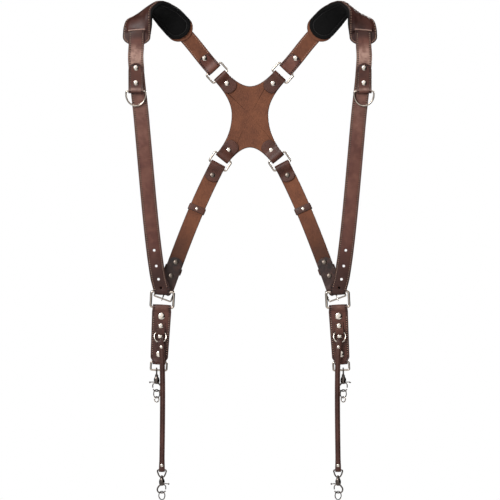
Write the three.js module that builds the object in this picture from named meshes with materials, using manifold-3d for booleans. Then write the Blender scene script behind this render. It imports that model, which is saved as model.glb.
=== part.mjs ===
// Dual camera harness of leather straps and metal fittings, in millimetres, +Z up.
// It hangs as worn: pads arched over the shoulders, the chest towards -Y and the back towards +Y.
// The origin is midway between the two shoulders, at the height where the pads rest.
import * as THREE from 'three';
import { mergeVertices } from 'three/addons/utils/BufferGeometryUtils.js';
import Module from 'manifold-3d';

const wasm = await Module();
wasm.setup();

// Leather
const STRAP_WIDTH = 32.4;
const STRAP_THICK = 3;
const TAIL_WIDTH = 27;
const TAIL_LENGTH = 190;
const STRAP_HOLE = 6;
const STRAP_END_ROUND = 12;
const PAD_WIDTH = 58;
const PAD_LEATHER = 2.4;
const PAD_END_ROUND = 20;
const PAD_THROUGH = 6;
const LINING_THICK = 5;
const LINING_MARGIN = 8;
const LINING_BEVEL = 2;
const YOKE_THICK = 3;
const YOKE_TONGUE_WIDTH = 31;
const YOKE_TONGUE_FOLD = 40;
const STRAP_FOLD = 44;
const CHAPE_FOLD = 68.5;
const CHAPE_ROUND = 13;
const TAB_THICK = 3;
const TAB_WIDTH = 40.4;
const TAB_FOOT_WIDTH = 36;
const TAB_TOP_FOLD_WIDTH = 38;
const TAB_FOOT_FOLD_WIDTH = 27.4;
const TAB_CHAMFER = 10;
const D_TAB_WIDTH = 31.5;
const D_TAB_THICK = 2.2;
const D_TAB_LENGTH = 58.2;
const D_TAB_HIDDEN = 43.5;
const KEEPER_THICK = 1.8;
const KEEPER_LENGTH = 13;
const RING_KEEPER_WIDTH = 18;
const RING_KEEPER_THICK = 2;
const TETHER_WIDTH = 11;
const TETHER_HEAD_WIDTH = 12.6;
const TETHER_FOOT_WIDTH = 12.4;
const TETHER_THICK = 2.5;
const TETHER_FOLD = 20;

// Metal
const RING_WIDTH = 45;
const RING_SPACING = 23;
const RING_WIRE = 4;
const RING_CORNER = 3.5;
const D_RING_WIDTH = 45;
const D_RING_HEIGHT = 34;
const D_RING_WIRE = 4;
const D_RING_SEGMENTS = 8;
const HIP_FRAME_WIDTH = 52;
const HIP_FRAME_SPACING = 32.4;
const HIP_FRAME_WIRE = 5;
const HIP_FRAME_CORNER = 4;
const BUCKLE_WIDTH = 40;
const BUCKLE_SPACING = 24;
const BUCKLE_WIRE = 3.2;
const BUCKLE_CORNER = 2;
const PRONG_WIRE = 2.6;
const PRONG_PAST = 5.5;
const PRONG_BITE = 0.2;
const HIP_RING_WIDTH = 37;
const HIP_RING_SPACING = 17;
const HIP_RING_WIRE = 4;
const HIP_RING_CORNER = 2.5;
const O_RING_DIAMETER = 27.8;
const O_RING_WIRE = 3.1;
const EYE_WIDTH = 18;
const EYE_HEIGHT = 14.2;
const EYE_WIRE = 3;
const SWIVEL_POST = 3;
const SNAP_BARREL_WIDTH = 11.5;
const SNAP_BARREL_DEPTH = 7;
const SNAP_BARREL_HEIGHT = 17;
const SNAP_HOOK_WIDTH = 17.5;
const SNAP_HOOK_HEIGHT = 14.5;
const SNAP_WIRE = 3;
const LEVER_WIRE = 2.2;
const LEVER_REACH = 11.3;
const SPLIT_RING_DIAMETER = 19.4;
const SPLIT_RING_WIRE = 2;
const END_RING_DIAMETER = 13.5;
const END_RING_WIRE = 2.2;
const RING_SEGMENTS = 10;
const RIVET_SMALL = 11;
const RIVET_LARGE = 15;
const RIVET_TINY = 7;
const RIVET_RISE = 0.2;
const KEEPER_RIVET = 7;
const EYE_FOOT_RADIUS = 3.6;
const PIN_RADIUS = 1.05;
const EYE_SHOULDER = 2;
const EYE_FOOT_BELOW = 1.4;
const EYE_FOOT_ABOVE = 1.2;
const POST_ROOT = 1;
const POST_HEAD_RISE = 0.7;
const POST_HEAD_HEIGHT = 1.4;
const PIVOT_RISE = 3.8;
const HOOK_ROOT = 2;
const LEVER_SLOT_HEIGHT = 9;
const LEVER_SLOT_INSET = 2.8;
const LEVER_SLOT_DROP = 1.6;
const GATE_DROP = 4.5;
const GATE_CLEARANCE = 3;
const LEVER_BALL = 1.9;
const LEVER_THICK = 2.8;
const LEVER_HUB = 2.1;

// Clearances
const GAP = 0.3;
const LOWER_LOOP_SLACK = 1.6;

// Places, seen from the front; side distances are from the middle, drops are below the seat
const SHOULDER_SPAN = 2 * 198.6;
const CHEST_DEPTH = 45;
const BACK_DEPTH = 48;
const PAD_TOP = 9.4;
const YOKE_DROP = 219.4;
const YOKE_WAIST = 76.6;
const YOKE_TOP_NOTCH = 59.3;
const YOKE_FOOT_NOTCH = 69;
const HIP_SPAN = 2 * 182.3;
const HIP_STRAP_SHIFT = 1.5;
const HIP_DROP = 605.3;
const HIP_DEPTH = -8;
const HIP_TILT = THREE.MathUtils.degToRad(3);
const HIP_STRAP_TILT = THREE.MathUtils.degToRad(20);
const BUCKLE_LEAN = THREE.MathUtils.degToRad(22);
const FRONT_BOW = 8;
const D_BAR_DROP = 173;
const D_TAB_SHIFT = 5.5;
const TAB_LENGTH = 113.8;
const HIP_SNAP_SHIFT = 4;
const TETHER_LENGTH = 266.2;
const TETHER_BOW = 3.1;
const TETHER_BOW_SKEW = 0.6;
const TETHER_HEAD_SHIFT = 1.5;
const TETHER_FOOT_SHIFT = 3.9;
const O_RING_LEAN = THREE.MathUtils.degToRad(15);
const SPLIT_RING_TURN = THREE.MathUtils.degToRad(43);
const END_RING_TURN = THREE.MathUtils.degToRad(-40);

// Tongues of the yoke: fold line's middle from the yoke's centre, direction of the tongue,
// direction of the ring that it holds and of the strap on the ring's other side, in degrees
const TONGUES = {
  upper: { out: 64.5, up: 82.6, heading: 47.3, ring: 47.3, strap: 47.3, slack: 0 },
  lower: { out: 59.9, up: -93.6, heading: -50.6, ring: -56.3, strap: -62.1, slack: LOWER_LOOP_SLACK },
};

// Pad from its front end over the shoulder: inward and fall as shares of the pad's reach and rise,
// depth as a share of the chest's or the back's depth, and the width's turn and lean in degrees
const PAD_REACH = 110;
const PAD_RISE = 88;
const PAD_SECTIONS = [
  { inward: -0.335, fall: 1.0, depth: -1.0, turn: 0, lean: 0 },
  { inward: -0.328, fall: 0.7, depth: -1.0, turn: 4, lean: 0 },
  { inward: -0.3, fall: 0.47, depth: -0.94, turn: 18, lean: 5 },
  { inward: -0.2, fall: 0.23, depth: -0.72, turn: 51, lean: 17 },
  { inward: 0, fall: 0.05, depth: -0.3, turn: 72, lean: 14 },
  { inward: 0.15, fall: 0.13, depth: 0.12, turn: 58, lean: 28 },
  { inward: 0.29, fall: 0.31, depth: 0.42, turn: 30, lean: 40 },
  { inward: 0.48, fall: 0.58, depth: 0.62, turn: 8, lean: 43 },
  { inward: 0.63, fall: 0.79, depth: 0.72, turn: 0, lean: 43 },
];

// Leather's place through the strap in the pad, by distance from each end
const SLIT_START = 18;
const SLIT_RUN = 16;

// Front strap between the hip frame and the pad: how far it bows outwards from the straight line,
// as shares of its greatest bow
const FRONT_BOWS = [
  { share: 0.05, bow: 0.55 },
  { share: 0.11, bow: 0.8 },
  { share: 0.2, bow: 0.95 },
  { share: 0.3, bow: 0.98 },
  { share: 0.4, bow: 0.93 },
  { share: 0.5, bow: 0.84 },
  { share: 0.6, bow: 0.74 },
  { share: 0.72, bow: 0.63 },
  { share: 0.9, bow: 0.62 },
  { share: 0.96, bow: 0.42 },
];

// Strap holes, as distances up the front strap from the hip frame
const HOLE_DISTANCES = [27, 55, 88];

// Rivets and keepers, as distances from the outside of the strap's fold, or up from the D-ring's bar
const STRAP_RIVET = 34;
const BACK_RIVET = 28.5;
const TONGUE_RIVET = 24;
const CHAPE_RIVETS = [63.5, 33];
const D_TAB_RIVETS = [48.2, 17.2];
const KEEPER_PLACES = { upper: 180, lower: 43 };

// Rivets on the hip tab, as distances from the bars that its ends are folded over; on the ring
// keeper, as drops below the hip frame's middle; on the tether, as distances from each end
const HIP_RIVET_UPPER_INSET = 18.4;
const HIP_RIVET_LOWER_INSET = 17;
const RING_KEEPER_DROPS = { start: 47, rivet: 54.9, ring: 65, inner: 76.8, end: 84.2 };
const TETHER_RIVETS = { head: 11, foot: 9.4 };

const COLOURS = {
  grain: { color: 0x54352f, roughness: 0.45, metalness: 0 },
  flesh: { color: 0x6a452f, roughness: 0.85, metalness: 0 },
  lining: { color: 0x0d0d0e, roughness: 0.8, metalness: 0 },
  nickel: { color: 0xcfc9c0, roughness: 0.22, metalness: 1 },
};

const V = (x, y, z) => new THREE.Vector3(x, y, z);
const X_AXIS = V(1, 0, 0);
const Y_AXIS = V(0, 1, 0);
const Z_AXIS = V(0, 0, 1);
const INWARD = V(-1, 0, 0);
const smooth = (t) => THREE.MathUtils.smoothstep(t, 0, 1);
const along = (point, direction, distance) => point.clone().addScaledVector(direction, distance);

// Turns every face of a closed mesh outwards, by the sign of its volume
function faceOut(geometry) {
  const position = geometry.getAttribute('position');
  const index = geometry.index.array;
  const corner = [V(0, 0, 0), V(0, 0, 0), V(0, 0, 0)];
  let volume = 0;
  for (let i = 0; i < index.length; i += 3) {
    corner.forEach((c, k) => c.fromBufferAttribute(position, index[i + k]));
    volume += corner[0].dot(corner[1].clone().cross(corner[2]));
  }
  if (volume < 0) {
    for (let i = 0; i < index.length; i += 3) {
      [index[i], index[i + 1]] = [index[i + 1], index[i]];
    }
  }
  geometry.deleteAttribute('normal');
  geometry.computeVertexNormals();
  return geometry;
}

// Closed skin through rings of points; open ends are capped by a fan. The sides in crossed are
// split along their other diagonal, so that both faces of a twisted strap stay parallel
function loft(rings, closed = false, crossed = []) {
  const count = rings[0].length;
  const points = rings.flat();
  const index = [];
  const spans = closed ? rings.length : rings.length - 1;
  for (let i = 0; i < spans; i += 1) {
    const near = i * count;
    const far = ((i + 1) % rings.length) * count;
    for (let j = 0; j < count; j += 1) {
      const next = (j + 1) % count;
      if (crossed.includes(j)) index.push(near + j, near + next, far + j, near + next, far + next, far + j);
      else index.push(near + j, near + next, far + next, near + j, far + next, far + j);
    }
  }
  if (!closed) {
    const last = (rings.length - 1) * count;
    for (let j = 1; j < count - 1; j += 1) {
      index.push(0, j + 1, j, last, last + j, last + j + 1);
    }
  }
  const geometry = new THREE.BufferGeometry().setFromPoints(points);
  geometry.setIndex(index);
  return faceOut(geometry);
}

// Station of a strap: a point, the direction across and the half width there
const station = (point, across, half) => ({ point, across, half });

// Adds the travel direction and the outward normal to each station
function framed(chain) {
  return chain.map((s, i) => {
    const before = chain[Math.max(i - 1, 0)].point;
    const after = chain[Math.min(i + 1, chain.length - 1)].point;
    const travel = after.clone().sub(before).normalize();
    const across = along(s.across, travel, -s.across.dot(travel)).normalize();
    return { ...s, travel, across, outward: travel.clone().cross(across) };
  });
}

// Distances along a chain of stations
function distances(chain) {
  const result = [0];
  for (let i = 1; i < chain.length; i += 1) {
    result.push(result[i - 1] + chain[i].point.distanceTo(chain[i - 1].point));
  }
  return result;
}
const lengthOf = (chain) => distances(chain).at(-1);

// Station at a distance along a chain, with its frame
function stationAt(chain, distance) {
  const frames = framed(chain);
  const reach = distances(chain);
  let i = 1;
  while (i < chain.length - 1 && reach[i] < distance) i += 1;
  const share = (distance - reach[i - 1]) / (reach[i] - reach[i - 1]);
  const [a, b] = [frames[i - 1], frames[i]];
  const mix = (key) => a[key].clone().lerp(b[key], share);
  return {
    point: mix('point'),
    across: mix('across').normalize(),
    outward: mix('outward').normalize(),
    travel: mix('travel').normalize(),
    half: THREE.MathUtils.lerp(a.half, b.half, share),
  };
}

// Stretch of a chain between two distances, with stations at both ends
function stretch(chain, from, to, extra = []) {
  const reach = distances(chain);
  const marks = reach.filter((d) => d > from + 0.5 && d < to - 0.5);
  const wanted = [...marks, ...extra.filter((d) => d > from && d < to), from, to];
  return wanted.toSorted((a, b) => a - b).map((d) => stationAt(chain, d));
}

// Rounds the last stretch of a chain in plan, as half an ellipse of the given length
const END_SHARES = [1, 0.6, 0.25, 0.03];
function roundedEnd(chain, length) {
  const total = lengthOf(chain);
  const reach = distances(chain);
  const kept = chain.filter((s, i) => reach[i] < total - length - 0.5);
  const ends = END_SHARES.map((share) => {
    const s = stationAt(chain, total - length * share);
    return { ...s, half: s.half * Math.sqrt(1 - (1 - share) ** 2) };
  });
  return [...kept, ...ends];
}
const roundedStart = (chain, length) => roundedEnd(chain.toReversed(), length).toReversed();

// Strap of the given thickness along a chain
function ribbon(chain, thick) {
  const corners = [[1, 1], [1, -1], [-1, -1], [-1, 1]];
  return loft(framed(chain).map((s) => corners.map(([a, b]) => (
    along(along(s.point, s.across, a * s.half), s.outward, (b * thick) / 2)))), false, [1]);
}

// Strap's end folded back round a bar onto its own layer: half a turn towards side, then along
const FOLD_STEPS = 5;
const SETTLE_SHARES = [0.5, 1];
const SETTLE_RUN = 4;
function foldedEnd(chain, side, { radius, layer, length, round = STRAP_END_ROUND }) {
  const last = framed(chain).at(-1);
  const total = lengthOf(chain);
  const turn = Array.from({ length: FOLD_STEPS }, (_, k) => {
    const angle = (Math.PI * (k + 1)) / FOLD_STEPS;
    const point = along(along(last.point, last.travel, radius * Math.sin(angle)),
      last.outward, side * radius * (1 - Math.cos(angle)));
    return station(point, last.across, last.half);
  });
  const settle = radius * SETTLE_RUN;
  const rest = [0.6, 1].map((share) => THREE.MathUtils.lerp(settle, length, share));
  const back = [...SETTLE_SHARES.map((share) => settle * share), ...rest].map((distance) => {
    const s = stationAt(chain, total - distance);
    const height = THREE.MathUtils.lerp(2 * radius, layer, smooth(Math.min(distance / settle, 1)));
    return station(along(s.point, s.outward, side * height), last.across, s.half);
  });
  const whole = [...chain, ...turn, ...back];
  return round ? roundedEnd(whole, round) : whole;
}
const foldedStart = (chain, side, sizes) => foldedEnd(chain.toReversed(), -side, sizes).toReversed();

// Smooth run between two ends that each have a point and a travel direction
function run(from, to, steps, half) {
  const reach = from.point.distanceTo(to.point) / 3;
  const curve = new THREE.CubicBezierCurve3(from.point, along(from.point, from.travel, reach),
    along(to.point, to.travel, -reach), to.point);
  const even = Array.from({ length: steps + 1 }, (_, i) => i / steps);
  const shares = [...even, 0.1 / steps, 1 - 0.1 / steps].toSorted((a, b) => a - b);
  return shares.map((share) => (
    station(curve.getPoint(share), from.across.clone().lerp(to.across, share).normalize(), half)));
}

// Rings of points for a round bar along a flat path
function wireRings(path, wire, sides, closed) {
  return path.map((point, i) => {
    const before = closed ? path[(i + path.length - 1) % path.length] : path[Math.max(i - 1, 0)];
    const after = closed ? path[(i + 1) % path.length] : path[Math.min(i + 1, path.length - 1)];
    const inPlane = after.clone().sub(before).normalize().cross(Z_AXIS);
    return Array.from({ length: sides }, (_, k) => {
      const angle = ((k + 0.5) * 2 * Math.PI) / sides;
      const shifted = along(point, inPlane, (wire / 2) * Math.cos(angle));
      return along(shifted, Z_AXIS, (wire / 2) * Math.sin(angle));
    });
  });
}
const wireLoop = (path, wire, sides = 6) => loft(wireRings(path, wire, sides, true), true);
const wireRun = (path, wire, sides = 6) => loft(wireRings(path, wire, sides, false));

// Points of an arc in the XY plane, in degrees
function arc(x, y, radius, from, to, steps) {
  return Array.from({ length: steps + 1 }, (_, i) => {
    const angle = THREE.MathUtils.degToRad(THREE.MathUtils.lerp(from, to, i / steps));
    return V(x + radius * Math.cos(angle), y + radius * Math.sin(angle), 0);
  });
}

// Middle line of a rounded rectangular ring, width along X and height along Y
function roundedRectangle(width, height, corner, steps = 2) {
  const x = width / 2 - corner;
  const y = height / 2 - corner;
  return [
    ...arc(x, y, corner, 0, 90, steps),
    ...arc(-x, y, corner, 90, 180, steps),
    ...arc(-x, -y, corner, 180, 270, steps),
    ...arc(x, -y, corner, 270, 360, steps),
  ];
}

const circle = (radius, steps) => arc(0, 0, radius, 0, 360, steps).slice(1);

// Turned solid about Z from [radius, height] pairs that start and end on the axis
function turned(profile, sides) {
  const geometry = new THREE.LatheGeometry(profile.map(([x, y]) => new THREE.Vector2(x, y)), sides);
  geometry.rotateX(Math.PI / 2);
  return welded(geometry);
}

// Merges shared vertices, drops the flat triangles at the poles and turns the faces outwards
function welded(geometry) {
  const plain = geometry.clone();
  plain.deleteAttribute('normal');
  plain.deleteAttribute('uv');
  const merged = mergeVertices(plain, 1e-4);
  const index = [];
  for (let i = 0; i < merged.index.count; i += 3) {
    const [a, b, c] = [0, 1, 2].map((k) => merged.index.getX(i + k));
    if (a !== b && b !== c && c !== a) index.push(a, b, c);
  }
  merged.setIndex(index);
  return faceOut(merged);
}

function toSolid(geometry) {
  const plain = welded(geometry);
  return new wasm.Manifold(new wasm.Mesh({
    numProp: 3,
    vertProperties: new Float32Array(plain.getAttribute('position').array),
    triVerts: new Uint32Array(plain.index.array),
  }));
}

function toGeometry(solid) {
  const mesh = solid.getMesh();
  const geometry = new THREE.BufferGeometry();
  geometry.setAttribute('position', new THREE.BufferAttribute(new Float32Array(mesh.vertProperties), 3));
  geometry.setIndex(new THREE.BufferAttribute(new Uint32Array(mesh.triVerts), 1));
  geometry.computeVertexNormals();
  return geometry;
}

const joined = (first, ...more) => toGeometry(more.reduce((s, g) => s.add(toSolid(g)), toSolid(first)));
const cut = (first, ...tools) => toGeometry(tools.reduce((s, g) => s.subtract(toSolid(g)), toSolid(first)));

// Rivet head on the XY plane, with a stem below it
function rivetHead(diameter, stem) {
  const radius = diameter / 2;
  const rise = diameter * RIVET_RISE;
  return turned([[0, -stem], [radius, -stem], [radius, rise * 0.3], [0, rise]], 8);
}

// Matrix at a strap station: X across, Z outwards, raised by a lift
function onStrap(s, lift, facing = 1) {
  const outward = s.outward.clone().multiplyScalar(facing);
  const origin = along(s.point, outward, lift);
  const matrix = new THREE.Matrix4().makeBasis(s.across, outward.clone().cross(s.across), outward);
  return matrix.setPosition(origin);
}

// Rivet heads sunk a little into the face of a strap at stations
const RIVET_SINK = 0.5;
function headOn(s, lift, facing, diameter = RIVET_SMALL) {
  return rivetHead(diameter, RIVET_SINK).applyMatrix4(onStrap(s, lift, facing));
}

// Station at a distance from the outside of a fold with the given radius and strap thickness
function behindFold(chain, distance, radius, thick) {
  return stationAt(chain, lengthOf(chain) - distance + radius + thick / 2);
}

// Round hole through a strap at a station
function holeAt(s, diameter) {
  const tool = new THREE.CylinderGeometry(diameter / 2, diameter / 2, STRAP_THICK * 3, 8);
  tool.rotateX(Math.PI / 2);
  return tool.applyMatrix4(onStrap(s, 0));
}

const inDegrees = (degrees) => V(Math.cos(THREE.MathUtils.degToRad(degrees)), 0,
  Math.sin(THREE.MathUtils.degToRad(degrees)));

// Hip frame: X outwards, Y towards the back, Z up along the tab, origin in the ring's middle
const hipMatrix = new THREE.Matrix4().makeRotationY(-HIP_TILT);
hipMatrix.setPosition(HIP_SPAN / 2, HIP_DEPTH, -HIP_DROP);
const inHip = (x, y, z) => V(x, y, z).applyMatrix4(hipMatrix);
const hipDirection = (x, y, z) => V(x, y, z).transformDirection(hipMatrix);

// Yoke's tongues and the rings that they hold, on the side where X is positive
function yokeRing(row) {
  const travel = inDegrees(row.heading);
  const axis = inDegrees(row.ring);
  const yokeRadius = RING_WIRE / 2 + GAP + YOKE_THICK / 2 + row.slack;
  const strapRadius = RING_WIRE / 2 + GAP + STRAP_THICK / 2 + row.slack;
  const end = V(row.out, BACK_DEPTH, row.up - YOKE_DROP);
  const tongueEnd = along(end, travel, -(yokeRadius + YOKE_THICK / 2));
  const bar = along(tongueEnd, Y_AXIS, -yokeRadius);
  const farBar = along(bar, axis, RING_SPACING);
  return {
    travel, axis, yokeRadius, strapRadius, tongueEnd, farBar,
    middle: along(bar, axis, RING_SPACING / 2),
    toRing: inDegrees(row.strap).negate(),
  };
}
const upper = yokeRing(TONGUES.upper);
const lower = yokeRing(TONGUES.lower);

// Small buckle at the foot of the back strap: its bar lies across the strap, its frame leans
// forward into the hip frame, and the strap's tail passes through it
const FRAME_LAYER = HIP_FRAME_WIRE / 2 + GAP + STRAP_THICK / 2;
const CHAPE_LAYER = BUCKLE_WIRE / 2 + GAP + STRAP_THICK / 2;
const TAIL_LAYER = CHAPE_LAYER + STRAP_THICK + 2 * GAP;
const BUCKLE_CLEARANCE = 3;
const BUCKLE_BACK = FRAME_LAYER + STRAP_THICK + CHAPE_LAYER + BUCKLE_CLEARANCE;
const BUCKLE_RISE = 6.8;
const BUCKLE_INSET = 6.5;
const buckleBar = inHip(-BUCKLE_INSET, BUCKLE_BACK, HIP_FRAME_SPACING / 2 + BUCKLE_RISE);
const strapDown = V(Math.sin(HIP_STRAP_TILT), 0, -Math.cos(HIP_STRAP_TILT));
const barAcross = V(-Math.cos(HIP_STRAP_TILT), 0, -Math.sin(HIP_STRAP_TILT));

// Slope in depth of a strap between two heights
function sloped(direction, rise, length) {
  return along(direction, Y_AXIS, rise / length).normalize();
}

// Back strap's outer layer from the lower ring down to the buckle bar
const BACK_STEPS = 9;
const backFall = BACK_DEPTH - (buckleBar.y + CHAPE_LAYER);
function backRun() {
  const length = lower.farBar.distanceTo(buckleBar);
  const top = { travel: sloped(lower.toRing.clone().negate(), -backFall, length), across: null };
  top.across = top.travel.clone().cross(Y_AXIS).normalize();
  const foot = { travel: sloped(strapDown, -backFall, length), across: barAcross };
  const outwardOf = (end) => end.travel.clone().cross(end.across).normalize();
  top.across.multiplyScalar(Math.sign(outwardOf(top).y));
  top.point = along(lower.farBar, outwardOf(top), lower.strapRadius);
  foot.point = along(buckleBar, outwardOf(foot), CHAPE_LAYER);
  return run(top, foot, BACK_STEPS, STRAP_WIDTH / 2);
}
const backChain = backRun();
const backLength = lengthOf(backChain);

// Prong of the buckle, and the wider slot that it needs through leather
const buckleDown = strapDown.clone().multiplyScalar(Math.cos(BUCKLE_LEAN));
const buckleLean = along(buckleDown, Y_AXIS, -Math.sin(BUCKLE_LEAN));
const buckleMatrix = new THREE.Matrix4().makeBasis(barAcross, buckleLean,
  barAcross.clone().cross(buckleLean)).setPosition(buckleBar);
const PROFILE_PLANE = new THREE.Matrix4().makeBasis(Y_AXIS, Z_AXIS, X_AXIS);
function prong(wire, start) {
  const front = (BUCKLE_WIRE + PRONG_WIRE) / 2 - PRONG_BITE;
  const path = [[start, 0], [BUCKLE_WIRE, 0], [BUCKLE_SPACING - BUCKLE_WIRE, front],
    [BUCKLE_SPACING + PRONG_PAST, front]];
  return wireRun(path.map(([down, out]) => V(down, out, 0)), wire).applyMatrix4(PROFILE_PLANE);
}
const prongSlot = () => prong(PRONG_WIRE + 4 * GAP, -2 * CHAPE_LAYER).applyMatrix4(buckleMatrix);

// Adjusting tail, round the buckle's fold and the hip frame's upper bar to the front strap's foot
function tailChain() {
  const tailFrames = stretch(backChain, backLength - TAIL_LENGTH, backLength);
  const tail = tailFrames.map((s) => (
    station(along(s.point, s.outward, STRAP_THICK + GAP), s.across, TAIL_WIDTH / 2)));
  const last = tailFrames.at(-1);
  const frameBar = inHip(0, 0, HIP_FRAME_SPACING / 2);
  const reach = Math.hypot(buckleBar.y - frameBar.y, buckleBar.z - frameBar.z);
  const fall = Math.atan2(buckleBar.z - frameBar.z, buckleBar.y - frameBar.y)
    - Math.asin((TAIL_LAYER - FRAME_LAYER) / reach);
  const turns = [0.25, 0.5, 0.75, 1].map((share) => {
    const angle = share * (Math.PI / 2 - fall);
    const offset = along(last.outward.clone().multiplyScalar(Math.cos(angle)), last.travel, Math.sin(angle));
    return station(along(buckleBar, offset, TAIL_LAYER), last.across, TAIL_WIDTH / 2);
  });
  const across = hipDirection(-1, 0, 0);
  const wraps = [0, 0.25, 0.5, 0.75, 1].map((share) => {
    const angle = THREE.MathUtils.lerp(-fall, Math.PI / 2, share);
    const layer = FRAME_LAYER + 3 * GAP * (1 - share);
    const below = along(frameBar, hipDirection(0, 0, -1), layer * Math.cos(angle));
    const point = along(along(below, Y_AXIS, -layer * Math.sin(angle)), across, -HIP_STRAP_SHIFT);
    return station(point, across, THREE.MathUtils.lerp(TAIL_WIDTH, STRAP_WIDTH, share) / 2);
  });
  return [...roundedStart(tail, STRAP_END_ROUND), ...turns, ...wraps];
}

const PAD_STEPS = 2;

// Middle of the strap through the pad, with the width turned by each row's angles
function padChain() {
  const rows = PAD_SECTIONS.map((row) => {
    const depth = row.depth * (row.depth < 0 ? CHEST_DEPTH : BACK_DEPTH);
    const point = V(SHOULDER_SPAN / 2 - row.inward * PAD_REACH, depth, PAD_TOP - row.fall * PAD_RISE);
    const turn = THREE.MathUtils.degToRad(row.turn);
    const lean = THREE.MathUtils.degToRad(row.lean);
    const across = V(-Math.cos(turn) * Math.cos(lean), -Math.sin(turn) * Math.cos(lean), Math.sin(lean));
    return { point, across };
  });
  const curve = new THREE.CatmullRomCurve3(rows.map((row) => row.point), false, 'centripetal');
  const steps = (rows.length - 1) * PAD_STEPS;
  return Array.from({ length: steps + 1 }, (_, i) => {
    const at = i / PAD_STEPS;
    const row = Math.min(Math.floor(at), rows.length - 2);
    const across = rows[row].across.clone().lerp(rows[row + 1].across, at - row).normalize();
    return station(curve.getPoint(i / steps), across, STRAP_WIDTH / 2);
  });
}
// Whole shoulder strap: tail, hip frame, front, pad and down the back to the upper ring
const UPPER_STEPS = 5;
function shoulderChain() {
  const tail = tailChain();
  const pad = padChain();
  const foot = tail.at(-1);
  const padFront = pad[0];
  const front = FRONT_BOWS.map(({ share, bow }) => {
    const point = foot.point.clone().lerp(padFront.point, share);
    return station(along(point, X_AXIS, bow * FRONT_BOW), INWARD, STRAP_WIDTH / 2);
  });
  const padEnd = framed(pad).at(-1);
  const rise = BACK_DEPTH - padEnd.point.y;
  const travel = sloped(upper.toRing, rise, padEnd.point.distanceTo(upper.farBar));
  const across = travel.clone().cross(Y_AXIS).negate();
  across.multiplyScalar(Math.sign(travel.clone().cross(across).y));
  const outward = travel.clone().cross(across).normalize();
  const ring = { point: along(upper.farBar, outward, upper.strapRadius), travel, across };
  const back = run(padEnd, ring, UPPER_STEPS, STRAP_WIDTH / 2).slice(1);
  const start = lengthOf([...tail, ...front, padFront]);
  return { chain: [...tail, ...front, ...pad, ...back], padStart: start, tail: lengthOf(tail) };
}
const shoulder = shoulderChain();
const padMiddle = padChain();
const padLength = lengthOf(padMiddle);

// Height of the pad's leather from the strap's middle: under it at both ends, over it between
const PAD_OVER = STRAP_THICK / 2 + GAP + PAD_LEATHER / 2;
function leatherLift(distance) {
  const fromEnd = Math.min(distance, padLength - distance);
  return THREE.MathUtils.lerp(-PAD_OVER, PAD_OVER, smooth((fromEnd - SLIT_START) / SLIT_RUN));
}
const liningTop = (distance) => (
  Math.min(leatherLift(distance) - PAD_LEATHER / 2 - 2 * GAP, -STRAP_THICK / 2 - GAP));

// Pad stations between two distances with rounded ends, each with its distance along the pad
function padStations(margin, width) {
  const wide = padMiddle.map((s) => ({ ...s, half: width / 2 }));
  const marks = [SLIT_START, SLIT_START + SLIT_RUN / 2, SLIT_START + SLIT_RUN];
  const inner = stretch(wide, margin, padLength - margin, [...marks, ...marks.map((d) => padLength - d)]);
  const round = PAD_END_ROUND;
  const ends = roundedStart(roundedEnd(inner, round), round);
  const reach = distances(ends);
  return framed(ends).map((s, i) => ({ ...s, distance: margin + reach[i] }));
}

// Half width over which the pad lies flat on the strap
const padRidge = (s) => Math.min(STRAP_WIDTH / 2 + 2 * GAP, s.half * 0.8);

// Outer leather of the pad: raised over the strap, its margins drawn down to the lining
function padLeather() {
  const rings = padStations(0, PAD_WIDTH).map((s) => {
    const middle = leatherLift(s.distance);
    const edge = Math.min(middle, liningTop(s.distance) + GAP + PAD_LEATHER / 2);
    const ridge = padRidge(s);
    const top = [[-s.half, edge], [-ridge, middle], [ridge, middle], [s.half, edge]];
    const face = (points, lift) => points.map(([x, z]) => (
      along(along(s.point, s.across, x), s.outward, z + lift)));
    return [...face(top, PAD_LEATHER / 2), ...face(top.toReversed(), -PAD_LEATHER / 2)];
  });
  const first = shoulder.padStart - PAD_THROUGH;
  const last = shoulder.padStart + padLength + PAD_THROUGH;
  const through = stretch(shoulder.chain, first, last)
    .map((s) => ({ ...s, half: s.half + GAP }));
  return cut(loft(rings, false, [4, 5, 6]), ribbon(through, STRAP_THICK + 1.6 * GAP));
}

// Padded lining under the leather, with bevelled edges
function padLining() {
  return loft(padStations(LINING_MARGIN, PAD_WIDTH).map((s) => {
    const top = liningTop(s.distance);
    const base = -PAD_OVER - PAD_LEATHER / 2 - GAP - LINING_THICK;
    const bevel = Math.min(LINING_BEVEL, s.half * 0.4);
    const ridge = padRidge(s);
    const section = [[s.half, top], [s.half, base + bevel], [s.half - bevel, base],
      [bevel - s.half, base], [-s.half, base + bevel], [-s.half, top], [-ridge, top], [ridge, top]];
    return section.map(([x, z]) => along(along(s.point, s.across, x), s.outward, z));
  }), false, [2]);
}

// Shoulder strap with its fold at the upper ring, its holes, a rivet and the prong's slot
function shoulderStrap() {
  const chain = foldedEnd(shoulder.chain, -1, {
    radius: upper.strapRadius, layer: STRAP_THICK + GAP, length: STRAP_FOLD });
  const holes = HOLE_DISTANCES.map((d) => holeAt(stationAt(shoulder.chain, shoulder.tail + d), STRAP_HOLE));
  const place = behindFold(shoulder.chain, STRAP_RIVET, upper.strapRadius, STRAP_THICK);
  const rivet = headOn(place, STRAP_THICK * 1.5 + GAP, -1);
  return joined(cut(ribbon(chain, STRAP_THICK), ...holes, prongSlot()), rivet);
}

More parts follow.
